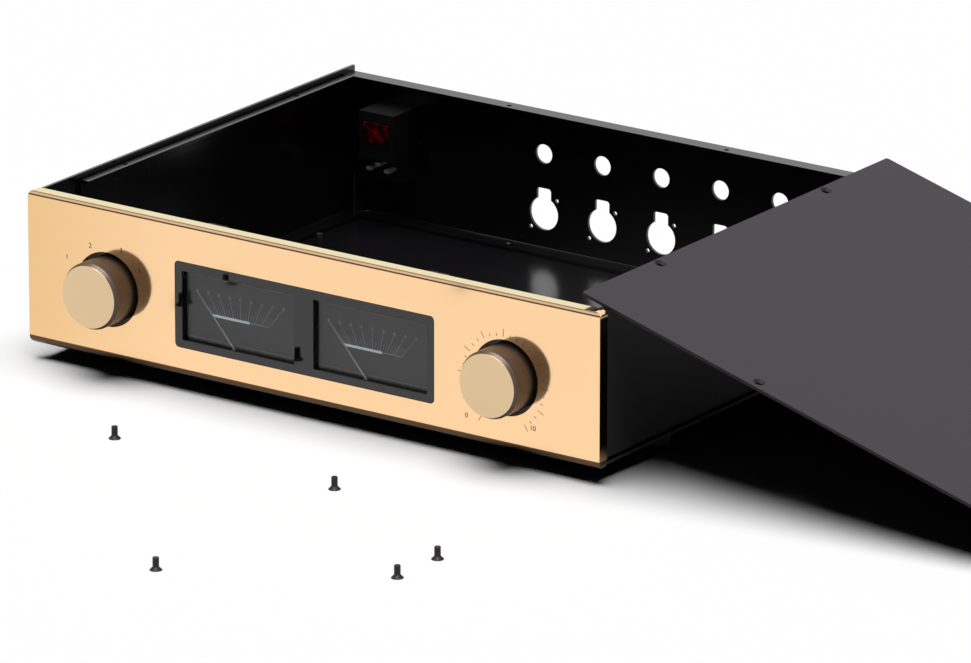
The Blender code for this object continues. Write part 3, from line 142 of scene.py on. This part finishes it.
# Meter scales, drawn about each needle's axis
MARK_COUNT = 9
MARK_TOP = 37.6 * MM  # height of the marks' tops above the needle's axis
MARK_FOOT = 24.0 * MM
MARK_TOP_REACH = 32.7 * MM  # from the middle mark's top to the last one's
MARK_FOOT_REACH = 21.4 * MM
MARK_WIDTH = 0.32 * MM
MARK_DOT_RADIUS = 1.0 * MM
FINE_MARK_SHARE = 0.45  # of a mark's height, for the marks in between
BAR_WIDTH = 1.6 * MM
BAR_THIN_WIDTH = 0.55 * MM
BAR_SHARE = 0.66  # of the base line that is the thick coloured bar
# painted glow: the printed bar gives a little light of its own
BAR_PAINTED_GLOW = 0.22  # a little of the bar's light is its own
BORDER_MARGIN = 2.2 * MM  # from the window's edges to the fine line round the scale
BORDER_WIDTH = 0.25 * MM
LENS_PAST_WINDOW = 1.0 * MM  # of the lens behind the frame, at each side
# painted shade: the card is painted black below the window's height, for the shade under the window's lower
# frame
WINDOW_HEIGHT = 44.6 * MM  # below this, measured from the window's top, the card is black
CARD_TOP_PAST_WINDOW = 0.3 * MM  # the window's top above the card's

# Gold of the front panel, with painted shade that deepens its tone towards its left end
GOLD = (0.985, 0.655, 0.368)
GOLD_PAINTED_SHADE = (0.855, 0.560, 0.272)
PAINTED_SHADE_DEEPEST = -215.0 * MM
PAINTED_SHADE_END = -105.0 * MM
ROLLED_CELLS = 260  # for each metre
ROLLED_STRETCH = (0.12, 1.0, 1.0)
GOLD_ROUGHNESS = (0.08, 0.11)

# Painted light on the panel: a painted sheen on its own top, and painted shade on the two fine lines along
# it, which are the broken edge and the groove below it, on the band between them and on the rounded lower
# edge, all in the tones that the photograph shows
TOP_FACE = 99.95 * MM  # the panel's top is what lies above this
EDGE_BAND = (99.4 * MM, 99.95 * MM)
GROOVE_BAND = (97.0 * MM, 98.15 * MM)
LINE_DEPTH = 1.0 * MM
NOSE_TOP = 5.9 * MM
# painted sheen: the panel's top face is paler than its front
TOP_PAINTED_SHEEN = (0.83, 0.70, 0.385)
# painted shade: the band between the two lines is darker than the face
RIM_PAINTED_SHADE = (0.70, 0.49, 0.31)  # between the two lines
# painted shade on the two fine lines, the broken edge and the groove, which adds to the groove's own shade
LINE_PAINTED_SHADE = (0.34, 0.21, 0.125)
# painted shade: the rounded lower edge is dark, standing for the shaded floor that it mirrors
NOSE_PAINTED_SHADE = (0.12, 0.072, 0.038)

# Black coat: painted light makes the outer walls paler, and painted shade keeps the inner ones darker; the
# outer walls are also rougher
COAT_INSIDE_PAINTED_SHADE = ((0.0046, 0.0040, 0.0048), (0.0058, 0.0052, 0.0060))
COAT_OUTSIDE_PAINTED_LIGHT = ((0.080, 0.075, 0.080), (0.088, 0.083, 0.088))
COAT_ROUGHNESS = (0.17, 0.23)
OUTSIDE_EXTRA_ROUGHNESS = 0.28
OUTER_SKIN = 0.2 * MM  # of a side wall's thickness that counts as outside

# Dial card, lens, and red plastic with painted glints
CARD_TONES = ((0.009, 0.0085, 0.009), (0.011, 0.0105, 0.011))
CARD_PAINTED_SHADE = (0.0015, 0.0015, 0.0015)
LENS_TONES = ((0.92, 0.93, 0.95), (0.97, 0.97, 0.98))
LENS_MIRROR_SHARE = 0.027  # of the light; the rest passes straight through
RED_GLINT_TONES = ((0.012, 0.001, 0.001), (0.30, 0.003, 0.005))
RED_GLINT_SPAN = (0.42, 0.60)

# A noise counts as 0 below the first value and as 1 above the second
GRAIN_SPAN = (0.3, 0.7)

# Finishes with one colour and a fine grain. The colour changes with the grain by the share "vary";
# "cells" is the grain's cells for each metre, and "bump" and "depth" are how it stands out.
PLAIN_FINISHES = {
    "cover_coat": dict(
        colour=(0.022, 0.017, 0.022), vary=0.05, rough=0.42, cells=1800, bump=0.10, depth=0.03 * MM, IOR=1.30
    ),
    "bezel_coat": dict(
        colour=(0.002, 0.0018, 0.002), vary=0.04, rough=0.03, cells=2200, bump=0.005, depth=0.003 * MM,
        IOR=1.59,
    ),
    "black_plastic": dict(
        colour=(0.004, 0.004, 0.004), vary=0.1, rough=0.5, cells=1200, bump=0.1, depth=0.04 * MM, IOR=1.25
    ),
    "plated_steel": dict(
        colour=(0.78, 0.77, 0.75), vary=0.05, rough=0.42, bump=0.05, depth=0.02 * MM, Metallic=1.0
    ),
    "black_steel": dict(
        colour=(0.03, 0.028, 0.031), vary=0.2, rough=0.35, cells=1500, bump=0.05, depth=0.02 * MM,
        Metallic=1.0,
    ),
    "foot_rubber": dict(colour=(0.012, 0.012, 0.012), vary=0.2, rough=0.7, bump=0.3, depth=0.1 * MM),
    "needle_paint": dict(colour=(0.60, 0.59, 0.59), vary=0.03, rough=0.4),
    "brown_ink": dict(colour=(0.16, 0.085, 0.045), vary=0.1, rough=0.5),
    "pale_ink": dict(colour=(0.55, 0.54, 0.55), vary=0.05, rough=0.5),
    "faint_ink": dict(colour=(0.14, 0.14, 0.145), vary=0.05, rough=0.5),
    # painted glow on the printed cyan bar
    "cyan_ink": dict(
        colour=(0.74, 0.94, 0.95), vary=0.05, rough=0.5, Emission_Color=(0.75, 1.0, 1.0, 1.0),
        Emission_Strength=BAR_PAINTED_GLOW,
    ),
}

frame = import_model()
CAD_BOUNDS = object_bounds()
nodes = frame["nodes"]
joints = {joint["name"]: joint for joint in frame["joints"]}


# Node helpers


def new_material(name):
    made = bpy.data.materials.new(name)
    made.use_nodes = True
    return made, made.node_tree, made.node_tree.nodes["Principled BSDF"]


def set_shader(shader, **values):
    for name, value in values.items():
        shader.inputs[name.replace("_", " ")].default_value = value


def colour4(colour):
    return (*colour, 1.0)


def add_noise(tree, cells, detail=3.0, stretch=(1.0, 1.0, 1.0)):
    """A noise in object coordinates, with its cells for each metre."""
    place = tree.nodes.new("ShaderNodeTexCoord")
    mapping = tree.nodes.new("ShaderNodeMapping")
    mapping.inputs["Scale"].default_value = stretch
    noise = tree.nodes.new("ShaderNodeTexNoise")
    noise.inputs["Scale"].default_value = cells
    noise.inputs["Detail"].default_value = detail
    tree.links.new(place.outputs["Object"], mapping.inputs["Vector"])
    tree.links.new(mapping.outputs["Vector"], noise.inputs["Vector"])
    return noise.outputs["Fac"]


def ramp(tree, value, first, second, span=GRAIN_SPAN):
    """A colour that goes from first, at the span's low end, to second, at its high end."""
    made = tree.nodes.new("ShaderNodeValToRGB")
    elements = made.color_ramp.elements
    elements[0].position, elements[1].position = span
    elements[0].color = colour4(first)
    elements[1].color = colour4(second)
    tree.links.new(value, made.inputs["Fac"])
    return made.outputs["Color"]


def spread(tree, value, low, high):
    """Maps a 0 to 1 value onto low to high."""
    made = tree.nodes.new("ShaderNodeMapRange")
    made.inputs["To Min"].default_value = low
    made.inputs["To Max"].default_value = high
    tree.links.new(value, made.inputs["Value"])
    return made.outputs["Result"]


def share_between(tree, value, start, end):
    """0 where the value is at start or below, 1 where it is at end or above."""
    made = tree.nodes.new("ShaderNodeMapRange")
    made.inputs["From Min"].default_value = start
    made.inputs["From Max"].default_value = end
    tree.links.new(value, made.inputs["Value"])
    return made.outputs["Result"]


def add_bump(tree, shader, height, strength, distance):
    bump = tree.nodes.new("ShaderNodeBump")
    bump.inputs["Strength"].default_value = strength
    bump.inputs["Distance"].default_value = distance
    tree.links.new(height, bump.inputs["Height"])
    tree.links.new(bump.outputs["Normal"], shader.inputs["Normal"])


def coordinate(tree, axis):
    """One coordinate of the object's own place, in metres."""
    place = tree.nodes.new("ShaderNodeTexCoord")
    split = tree.nodes.new("ShaderNodeSeparateXYZ")
    tree.links.new(place.outputs["Object"], split.inputs["Vector"])
    return split.outputs[axis]


def calculate(tree, operation, first, second=0.0):
    """A sum on one or two values, each a socket or a number."""
    made = tree.nodes.new("ShaderNodeMath")
    made.operation = operation
    for socket, value in zip(made.inputs, (first, second)):
        if isinstance(value, float):
            socket.default_value = value
        else:
            tree.links.new(value, socket)
    return made.outputs["Value"]


def band(tree, value, low, high):
    """1 where the value lies between low and high, else 0."""
    above = calculate(tree, "GREATER_THAN", value, low)
    below = calculate(tree, "LESS_THAN", value, high)
    return calculate(tree, "MULTIPLY", above, below)


def blend_colours(tree, share, first, second):
    """first where share is 0, second where it is 1; each a socket or a colour."""
    mix = tree.nodes.new("ShaderNodeMix")
    mix.data_type = "RGBA"
    tree.links.new(share, mix.inputs["Factor"])
    for name, value in (("A", first), ("B", second)):
        if isinstance(value, tuple):
            mix.inputs[name].default_value = colour4(value)
        else:
            tree.links.new(value, mix.inputs[name])
    return mix.outputs["Result"]


def distance_from_axis(tree, x, z):
    """How far a point lies from the line along Y through x and z."""
    place = tree.nodes.new("ShaderNodeTexCoord")
    offset = tree.nodes.new("ShaderNodeVectorMath")
    offset.operation = "SUBTRACT"
    offset.inputs[1].default_value = (x, 0.0, z)
    flat = tree.nodes.new("ShaderNodeVectorMath")
    flat.operation = "MULTIPLY"
    flat.inputs[1].default_value = (1.0, 0.0, 1.0)
    length = tree.nodes.new("ShaderNodeVectorMath")
    length.operation = "LENGTH"
    tree.links.new(place.outputs["Object"], offset.inputs[0])
    tree.links.new(offset.outputs["Vector"], flat.inputs[0])
    tree.links.new(flat.outputs["Vector"], length.inputs[0])
    return length.outputs["Value"]


def seen_directly(tree):
    """1 for what the camera, a mirror or a lens sees, 0 for what matt surfaces see."""
    path = tree.nodes.new("ShaderNodeLightPath")
    mirrored = calculate(
        tree, "MAXIMUM", path.outputs["Is Glossy Ray"], path.outputs["Is Transmission Ray"]
    )
    seen = calculate(tree, "MAXIMUM", path.outputs["Is Camera Ray"], mirrored)
    before_matt = calculate(tree, "LESS_THAN", path.outputs["Diffuse Depth"], 0.5)
    return calculate(tree, "MULTIPLY", seen, before_matt)


# Materials


def grained(name, colour, vary, rough, cells=900, bump=0.0, depth=0.01 * MM, **more):
    """A finish with fine grain: its colour and roughness vary a little with one noise, and it has bump."""
    made, tree, shader = new_material(name)
    set_shader(shader, **more)
    grain = add_noise(tree, cells)
    dark = tuple(channel * (1 - vary) for channel in colour)
    light = tuple(min(1.0, channel * (1 + vary)) for channel in colour)
    tree.links.new(ramp(tree, grain, dark, light), shader.inputs["Base Color"])
    tree.links.new(spread(tree, grain, rough * 0.85, rough * 1.15), shader.inputs["Roughness"])
    add_bump(tree, shader, grain, bump, depth)
    return made


def make_gold(face_y):
    """Bright anodised aluminium, rolled along the panel, with painted shade deepening its tone towards its
    left end, a painted sheen on its top, and painted shade on its fine lines, on the band between them and
    on its rounded lower edge.
    """
    made, tree, shader = new_material("gold_anodised")
    set_shader(shader, Metallic=1.0)
    x, y, z = (coordinate(tree, axis) for axis in "XYZ")
    # painted shade: the gold's tone deepens towards the left end
    along = share_between(tree, x, PAINTED_SHADE_DEEPEST, PAINTED_SHADE_END)
    near_face = calculate(tree, "LESS_THAN", y, face_y + LINE_DEPTH)
    lines = calculate(tree, "MAXIMUM", band(tree, z, *GROOVE_BAND), band(tree, z, *EDGE_BAND))
    rim = band(tree, z, GROOVE_BAND[1], EDGE_BAND[0])
    colour = blend_colours(tree, along, GOLD_PAINTED_SHADE, GOLD)
    for share, tone in (
        # painted sheen on the panel's top face
        (calculate(tree, "GREATER_THAN", z, TOP_FACE), TOP_PAINTED_SHEEN),
        # painted shade on the band between the two lines
        (calculate(tree, "MULTIPLY", rim, near_face), RIM_PAINTED_SHADE),
        # painted shade on the two fine lines
        (calculate(tree, "MULTIPLY", lines, near_face), LINE_PAINTED_SHADE),
        # painted shade on the rounded lower edge
        (calculate(tree, "LESS_THAN", z, NOSE_TOP), NOSE_PAINTED_SHADE),
    ):
        colour = blend_colours(tree, share, colour, tone)
    tree.links.new(colour, shader.inputs["Base Color"])
    rolled = add_noise(tree, ROLLED_CELLS, 4.0, ROLLED_STRETCH)
    tree.links.new(spread(tree, rolled, *GOLD_ROUGHNESS), shader.inputs["Roughness"])
    add_bump(tree, shader, rolled, 0.01, 0.01 * MM)
    return made


def make_black_coat(side_x):
    """Satin black coat: painted light makes it paler on the outer side walls, which lie past side_x from the
    middle, and painted shade keeps it darker inside; the outer walls are also rougher.
    """
    made, tree, shader = new_material("black_coat")
    set_shader(shader, IOR=1.45)
    grain = add_noise(tree, 1500)
    # painted shade on the inner walls, painted light on the outer ones
    inside = ramp(tree, grain, *COAT_INSIDE_PAINTED_SHADE)
    outside = ramp(tree, grain, *COAT_OUTSIDE_PAINTED_LIGHT)
    reach = calculate(tree, "ABSOLUTE", coordinate(tree, "X"))
    past = calculate(tree, "GREATER_THAN", reach, side_x)
    tree.links.new(blend_colours(tree, past, inside, outside), shader.inputs["Base Color"])
    extra = calculate(tree, "MULTIPLY", past, OUTSIDE_EXTRA_ROUGHNESS)
    rough = calculate(tree, "ADD", spread(tree, grain, *COAT_ROUGHNESS), extra)
    tree.links.new(rough, shader.inputs["Roughness"])
    add_bump(tree, shader, grain, 0.04, 0.02 * MM)
    return made


def make_dial_card(painted_shade_top):
    """Dark grey card, painted black as painted shade below the window's lower edge, where the frame hides
    most of it.
    """
    made, tree, shader = new_material("dial_card")
    set_shader(shader, Roughness=0.55, Specular_IOR_Level=0.2)
    # painted shade: black below the window's lower edge
    above = calculate(tree, "GREATER_THAN", coordinate(tree, "Z"), painted_shade_top)
    card = ramp(tree, add_noise(tree, 120), *CARD_TONES)
    tree.links.new(blend_colours(tree, above, CARD_PAINTED_SHADE, card), shader.inputs["Base Color"])
    return made


def make_lens():
    """Thin clear sheet: nearly all light passes, and the rest is mirrored at its surface."""
    made, tree, shader = new_material("clear_lens")
    set_shader(shader, Metallic=1.0, Roughness=0.02, Alpha=LENS_MIRROR_SHARE)
    tree.links.new(ramp(tree, add_noise(tree, 30), *LENS_TONES), shader.inputs["Base Color"])
    return made


def make_knob_metal(name, x, z, front_y):
    """Metal turned on a lathe: fine rings round the axis on its bright front, and a dark satin side."""
    made, tree, shader = new_material(name)
    set_shader(shader, Metallic=1.0)
    rings = tree.nodes.new("ShaderNodeTexNoise")
    rings.noise_dimensions = "1D"
    rings.inputs["Scale"].default_value = KNOB_RINGS
    rings.inputs["Detail"].default_value = 2.0
    tree.links.new(distance_from_axis(tree, x, z), rings.inputs["W"])
    front = ramp(tree, rings.outputs["Fac"], *KNOB_FRONT_TONES)
    side = ramp(tree, add_noise(tree, 900), *KNOB_SIDE_TONES)
    behind = calculate(tree, "GREATER_THAN", coordinate(tree, "Y"), front_y)
    tree.links.new(blend_colours(tree, behind, front, side), shader.inputs["Base Color"])
    rough = spread(tree, behind, KNOB_FRONT_ROUGHNESS, KNOB_SIDE_ROUGHNESS)
    tree.links.new(rough, shader.inputs["Roughness"])
    add_bump(tree, shader, rings.outputs["Fac"], 0.06, 0.02 * MM)
    return made


def make_red_plastic():
    """Clear red plastic, painted near black as painted shade, with patches of deep red that are painted
    glints.
    """
    made, tree, shader = new_material("red_plastic")
    set_shader(shader, Roughness=0.35, IOR=1.35)
    # painted glints: patches of deep red over painted shade
    patches = add_noise(tree, 210, 1.0)
    tree.links.new(ramp(tree, patches, *RED_GLINT_TONES, RED_GLINT_SPAN), shader.inputs["Base Color"])
    add_bump(tree, shader, patches, 0.1, 0.05 * MM)
    return made


def make_floor_paper():
    made, tree, shader = new_material("floor_paper")
    set_shader(shader, Roughness=0.9, Specular_IOR_Level=0.0)
    paper = ramp(tree, add_noise(tree, 900), *FLOOR_TONES)
    colour = blend_colours(tree, seen_directly(tree), FLOOR_FOR_MATT, paper)
    tree.links.new(colour, shader.inputs["Base Color"])
    return made


def make_looks(face_y):
    """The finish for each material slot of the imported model, and for the printing."""
    looks = {name: grained(name, **values) for name, values in PLAIN_FINISHES.items()}
    looks["needle"] = looks["needle_paint"]
    looks["gold_panel"] = make_gold(face_y)
    looks["black_coat"] = make_black_coat(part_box("right_side_panel")[1].x - OUTER_SKIN)
    looks["dial_card"] = make_dial_card(
        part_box("left_meter_dial")[1].z + CARD_TOP_PAST_WINDOW - WINDOW_HEIGHT
    )
    looks["lens"] = make_lens()
    looks["red_plastic"] = make_red_plastic()
    return looks


def dress(names, look):
    """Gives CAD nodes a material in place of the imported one."""
    for name in names:
        slots = nodes[name].material_slots
        for slot in slots:
            slot.material = look
        if not slots:
            nodes[name].data.materials.append(look)


# Shapes


def put_in_scene(name, mesh, look, body):
    """An object of this mesh and look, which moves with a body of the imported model."""
    mesh.materials.clear()
    mesh.materials.append(look)
    made = bpy.data.objects.new(name, mesh)
    bpy.context.scene.collection.objects.link(made)
    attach(made, body)
    return made


def mesh_object(name, shape, look, body):
    bmesh.ops.recalc_face_normals(shape, faces=shape.faces)
    mesh = bpy.data.meshes.new(name)
    shape.to_mesh(mesh)
    shape.free()
    put_in_scene(name, mesh, look, body)


def add_slab(shape, outline, back_y):
    """A film of print in front of the plane at back_y, with its outline in x and z."""
    ends = [
        [shape.verts.new((x, back_y - along, z)) for x, z in outline] for along in (0, PRINT_THICKNESS)
    ]
    shape.faces.new(ends[0])
    shape.faces.new(ends[1])
    for index in range(len(outline)):
        after = (index + 1) % len(outline)
        shape.faces.new((ends[0][index], ends[0][after], ends[1][after], ends[1][index]))


def strip(start, end, width):
    """The outline of a straight stroke between two points."""
    start, end = Vector(start), Vector(end)
    along = (end - start).normalized()
    half = Vector((-along.y, along.x)) * width / 2
    return [tuple(start - half), tuple(end - half), tuple(end + half), tuple(start + half)]


def disc(centre, radius, steps=16):
    turns = [2 * math.pi * step / steps for step in range(steps)]
    return [
        (centre[0] + radius * math.cos(turn), centre[1] + radius * math.sin(turn)) for turn in turns
    ]


def print_digits(name, text, centre, face_y, look, body):
    """Flat printed digits in front of the face, whose middle is at centre, in x and z."""
    curve = bpy.data.curves.new(name, "FONT")
    curve.body = text
    curve.size = DIGIT_SIZE
    curve.align_x = "CENTER"
    curve.align_y = "CENTER"
    curve.extrude = PRINT_THICKNESS / 2
    curve.resolution_u = 4
    text_object = bpy.data.objects.new(name + "_text", curve)
    bpy.context.scene.collection.objects.link(text_object)
    bpy.context.view_layer.update()
    mesh = bpy.data.meshes.new_from_object(text_object)
    bpy.data.objects.remove(text_object)
    middle_y = face_y - PRINT_RAISE - PRINT_THICKNESS / 2
    mesh.transform(Matrix.Rotation(math.radians(90), 4, "X"))
    mesh.transform(Matrix.Translation((centre[0], middle_y, centre[1])))
    put_in_scene(name, mesh, look, body)


# Knobs


def knob_axis(control):
    place = joints[f"{control}_turn"]["pos_m"]
    return place[0], place[2]


def bevel_knob(mesh, x, z, front_y, cad_radius):
    """Widens a knob's body and draws its front in, so that a bevel runs between the two."""
    for vertex in mesh.vertices:
        out = Vector((vertex.co.x - x, 0.0, vertex.co.z - z))
        if out.length < cad_radius - KNOB_RIM:
            continue
        wide = KNOB_BODY_RADIUS + out.length - cad_radius
        if vertex.co.y < front_y + KNOB_EDGE:
            wide = KNOB_FRONT_RADIUS
        elif vertex.co.y < front_y + KNOB_BEVEL:
            vertex.co.y = front_y + KNOB_BEVEL
        out *= wide / out.length
        vertex.co.x = x + out.x
        vertex.co.z = z + out.z


def draw_knob(node):
    """The knob with its bevelled body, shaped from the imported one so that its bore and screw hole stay."""
    x, z = knob_axis(node.split("_")[0])
    low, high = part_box(node)
    mesh = nodes[node].data.copy()
    mesh.transform(nodes[node].matrix_world)
    bevel_knob(mesh, x, z, low.y, (high.x - low.x) / 2)
    look = make_knob_metal(f"{node}_metal", x, z, low.y + KNOB_EDGE)
    made = put_in_scene(f"{node}_bevelled", mesh, look, nodes[node]["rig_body"])
    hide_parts(node)


# Printing


def print_volume_scale(face_y, ink):
    x, z = knob_axis("volume")
    middle = Vector((x, z)) + Vector(TICK_RING_PLACE)
    shape = bmesh.new()
    for index in range(TICK_COUNT):
        turn = math.radians(TICK_FIRST - index * TICK_STEP)
        outer = TICK_SHORT_OUTER if index % LONG_TICK_EVERY else TICK_LONG_OUTER
        out = Vector((math.cos(turn), math.sin(turn)))
        tick = strip(middle + out * TICK_INNER, middle + out * outer, TICK_WIDTH)
        add_slab(shape, tick, face_y - PRINT_RAISE)
    mesh_object("volume_ticks", shape, ink, "chassis")
    for name, text, (dx, dz) in VOLUME_NUMBERS:
        print_digits(name, text, (x + dx, z + dz), face_y, ink, "chassis")


def print_selector_numbers(face_y, ink):
    x, z = knob_axis("selector")
    for number, (dx, dz) in enumerate(SELECTOR_PLACES, 1):
        name = f"selector_number_{number}"
        print_digits(name, str(number), (x + dx, z + dz), face_y, ink, "chassis")


def mark_ends(share):
    """Foot and top of a meter mark from the needle's axis; share runs from -1 at the left to 1."""
    return (
        Vector((share * MARK_FOOT_REACH, MARK_FOOT)),
        Vector((share * MARK_TOP_REACH, MARK_TOP)),
    )


def meter_marks(axis, dial_y):
    """The dotted marks, with two fine short ones in each space between them."""
    shape = bmesh.new()
    for index in range(MARK_COUNT):
        foot, top = mark_ends(2 * index / (MARK_COUNT - 1) - 1)
        add_slab(shape, strip(axis + foot, axis + top, MARK_WIDTH), dial_y)
        add_slab(shape, disc(axis + top, MARK_DOT_RADIUS), dial_y)
    for index in range(MARK_COUNT - 1):
        for part in (1, 2):
            foot, top = mark_ends(2 * (index + part / 3) / (MARK_COUNT - 1) - 1)
            short = foot + FINE_MARK_SHARE * (top - foot)
            add_slab(shape, strip(axis + foot, axis + short, MARK_WIDTH / 2), dial_y)
    return shape


def meter_stroke(start, end, width, dial_y):
    shape = bmesh.new()
    add_slab(shape, strip(start, end, width), dial_y)
    return shape


def meter_border(side, dial_y):
    """The fine line round the scale, just inside the window's edges."""
    low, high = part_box(f"{side}_meter_lens")
    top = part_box(f"{side}_meter_dial")[1].z + CARD_TOP_PAST_WINDOW - BORDER_MARGIN
    bottom = top - WINDOW_HEIGHT + 2 * BORDER_MARGIN
    middle = (low.x + high.x) / 2
    reach = (high.x - low.x) / 2 - BORDER_MARGIN - LENS_PAST_WINDOW
    left, right = middle - reach, middle + reach
    corners = [(left, bottom), (right, bottom), (right, top), (left, top)]
    shape = bmesh.new()
    for start, end in zip(corners, corners[1:] + corners[:1]):
        add_slab(shape, strip(start, end, BORDER_WIDTH), dial_y)
    return shape


def print_meter_scale(side, looks):
    place = joints[f"{side}_needle_swing"]["pos_m"]
    axis = Vector((place[0], place[2]))
    dial_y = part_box(f"{side}_meter_dial")[0].y - PRINT_RAISE
    left = axis + mark_ends(-1)[0]
    right = axis + mark_ends(1)[0]
    turn = left + BAR_SHARE * (right - left)
    for name, shape, ink in (
        ("marks", meter_marks(axis, dial_y), "pale_ink"),
        ("bar", meter_stroke(left, turn, BAR_WIDTH, dial_y), "cyan_ink"),
        ("line", meter_stroke(turn, right, BAR_THIN_WIDTH, dial_y), "pale_ink"),
        ("border", meter_border(side, dial_y), "faint_ink"),
    ):
        mesh_object(f"{side}_meter_{name}", shape, looks[ink], "chassis")


# Stage


def make_camera():
    data = bpy.data.cameras.new("camera")
    data.lens = CAMERA_LENS
    data.sensor_width = CAMERA_SENSOR
    data.clip_end = CAMERA_SIGHT
    camera = bpy.data.objects.new("camera", data)
    turn = Matrix.Rotation(math.radians(CAMERA_YAW), 4, "Z")
    pitch = Matrix.Rotation(math.radians(90 - CAMERA_PITCH), 4, "X")
    roll = Matrix.Rotation(math.radians(CAMERA_ROLL), 4, "Z")
    camera.matrix_world = Matrix.Translation(CAMERA_PLACE) @ turn @ pitch @ roll
    bpy.context.scene.collection.objects.link(camera)
    bpy.context.scene.camera = camera


def make_floor(height):
    mesh = bpy.data.meshes.new("floor")
    signs = ((-1, -1), (1, -1), (1, 1), (-1, 1))
    corners = [(x * FLOOR_REACH, y * FLOOR_REACH, height) for x, y in signs]
    mesh.from_pydata(corners, [], [(0, 1, 2, 3)])
    mesh.materials.append(make_floor_paper())
    floor = bpy.data.objects.new("floor", mesh)
    bpy.context.scene.collection.objects.link(floor)


def make_world():
    """White where the camera, a mirror or a lens sees it, and a low soft light for the rest."""
    world = bpy.data.worlds.new("studio")
    world.use_nodes = True
    tree = world.node_tree
    background = tree.nodes["Background"]
    background.inputs["Color"].default_value = colour4(SKY_WHITE)
    strength = spread(tree, seen_directly(tree), SKY_FOR_MATT, 1.0)
    tree.links.new(strength, background.inputs["Strength"])
    bpy.context.scene.world = world


def make_lamp():
    data = bpy.data.lights.new("overhead", "SUN")
    data.angle = math.radians(LAMP_ANGLE)
    data.energy = LAMP_STRENGTH
    lamp = bpy.data.objects.new("overhead", data)
    lamp.rotation_euler = (math.radians(LAMP_LEAN), 0.0, 0.0)
    bpy.context.scene.collection.objects.link(lamp)


def main():
    bpy.context.scene.view_settings.view_transform = "Standard"
    make_camera()
    make_world()
    make_lamp()
    make_floor(CAD_BOUNDS[0][2])

    face_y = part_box("front_panel")[0].y
    looks = make_looks(face_y)
    for subpart in frame["record"]["subparts"]:
        node, slot = subpart["node"], subpart["material_slot"]
        if slot == "knob_metal":
            draw_knob(node)
        else:
            dress([node], looks[slot])
    # The lugs' tops would mirror the white sky beside the panel's edge, so they take a duller finish
    dress(["left_cover_lug", "right_cover_lug"], looks["black_plastic"])

    print_volume_scale(face_y, looks["brown_ink"])
    print_selector_numbers(face_y, looks["brown_ink"])
    for side in ("left", "right"):
        print_meter_scale(side, looks)


main()
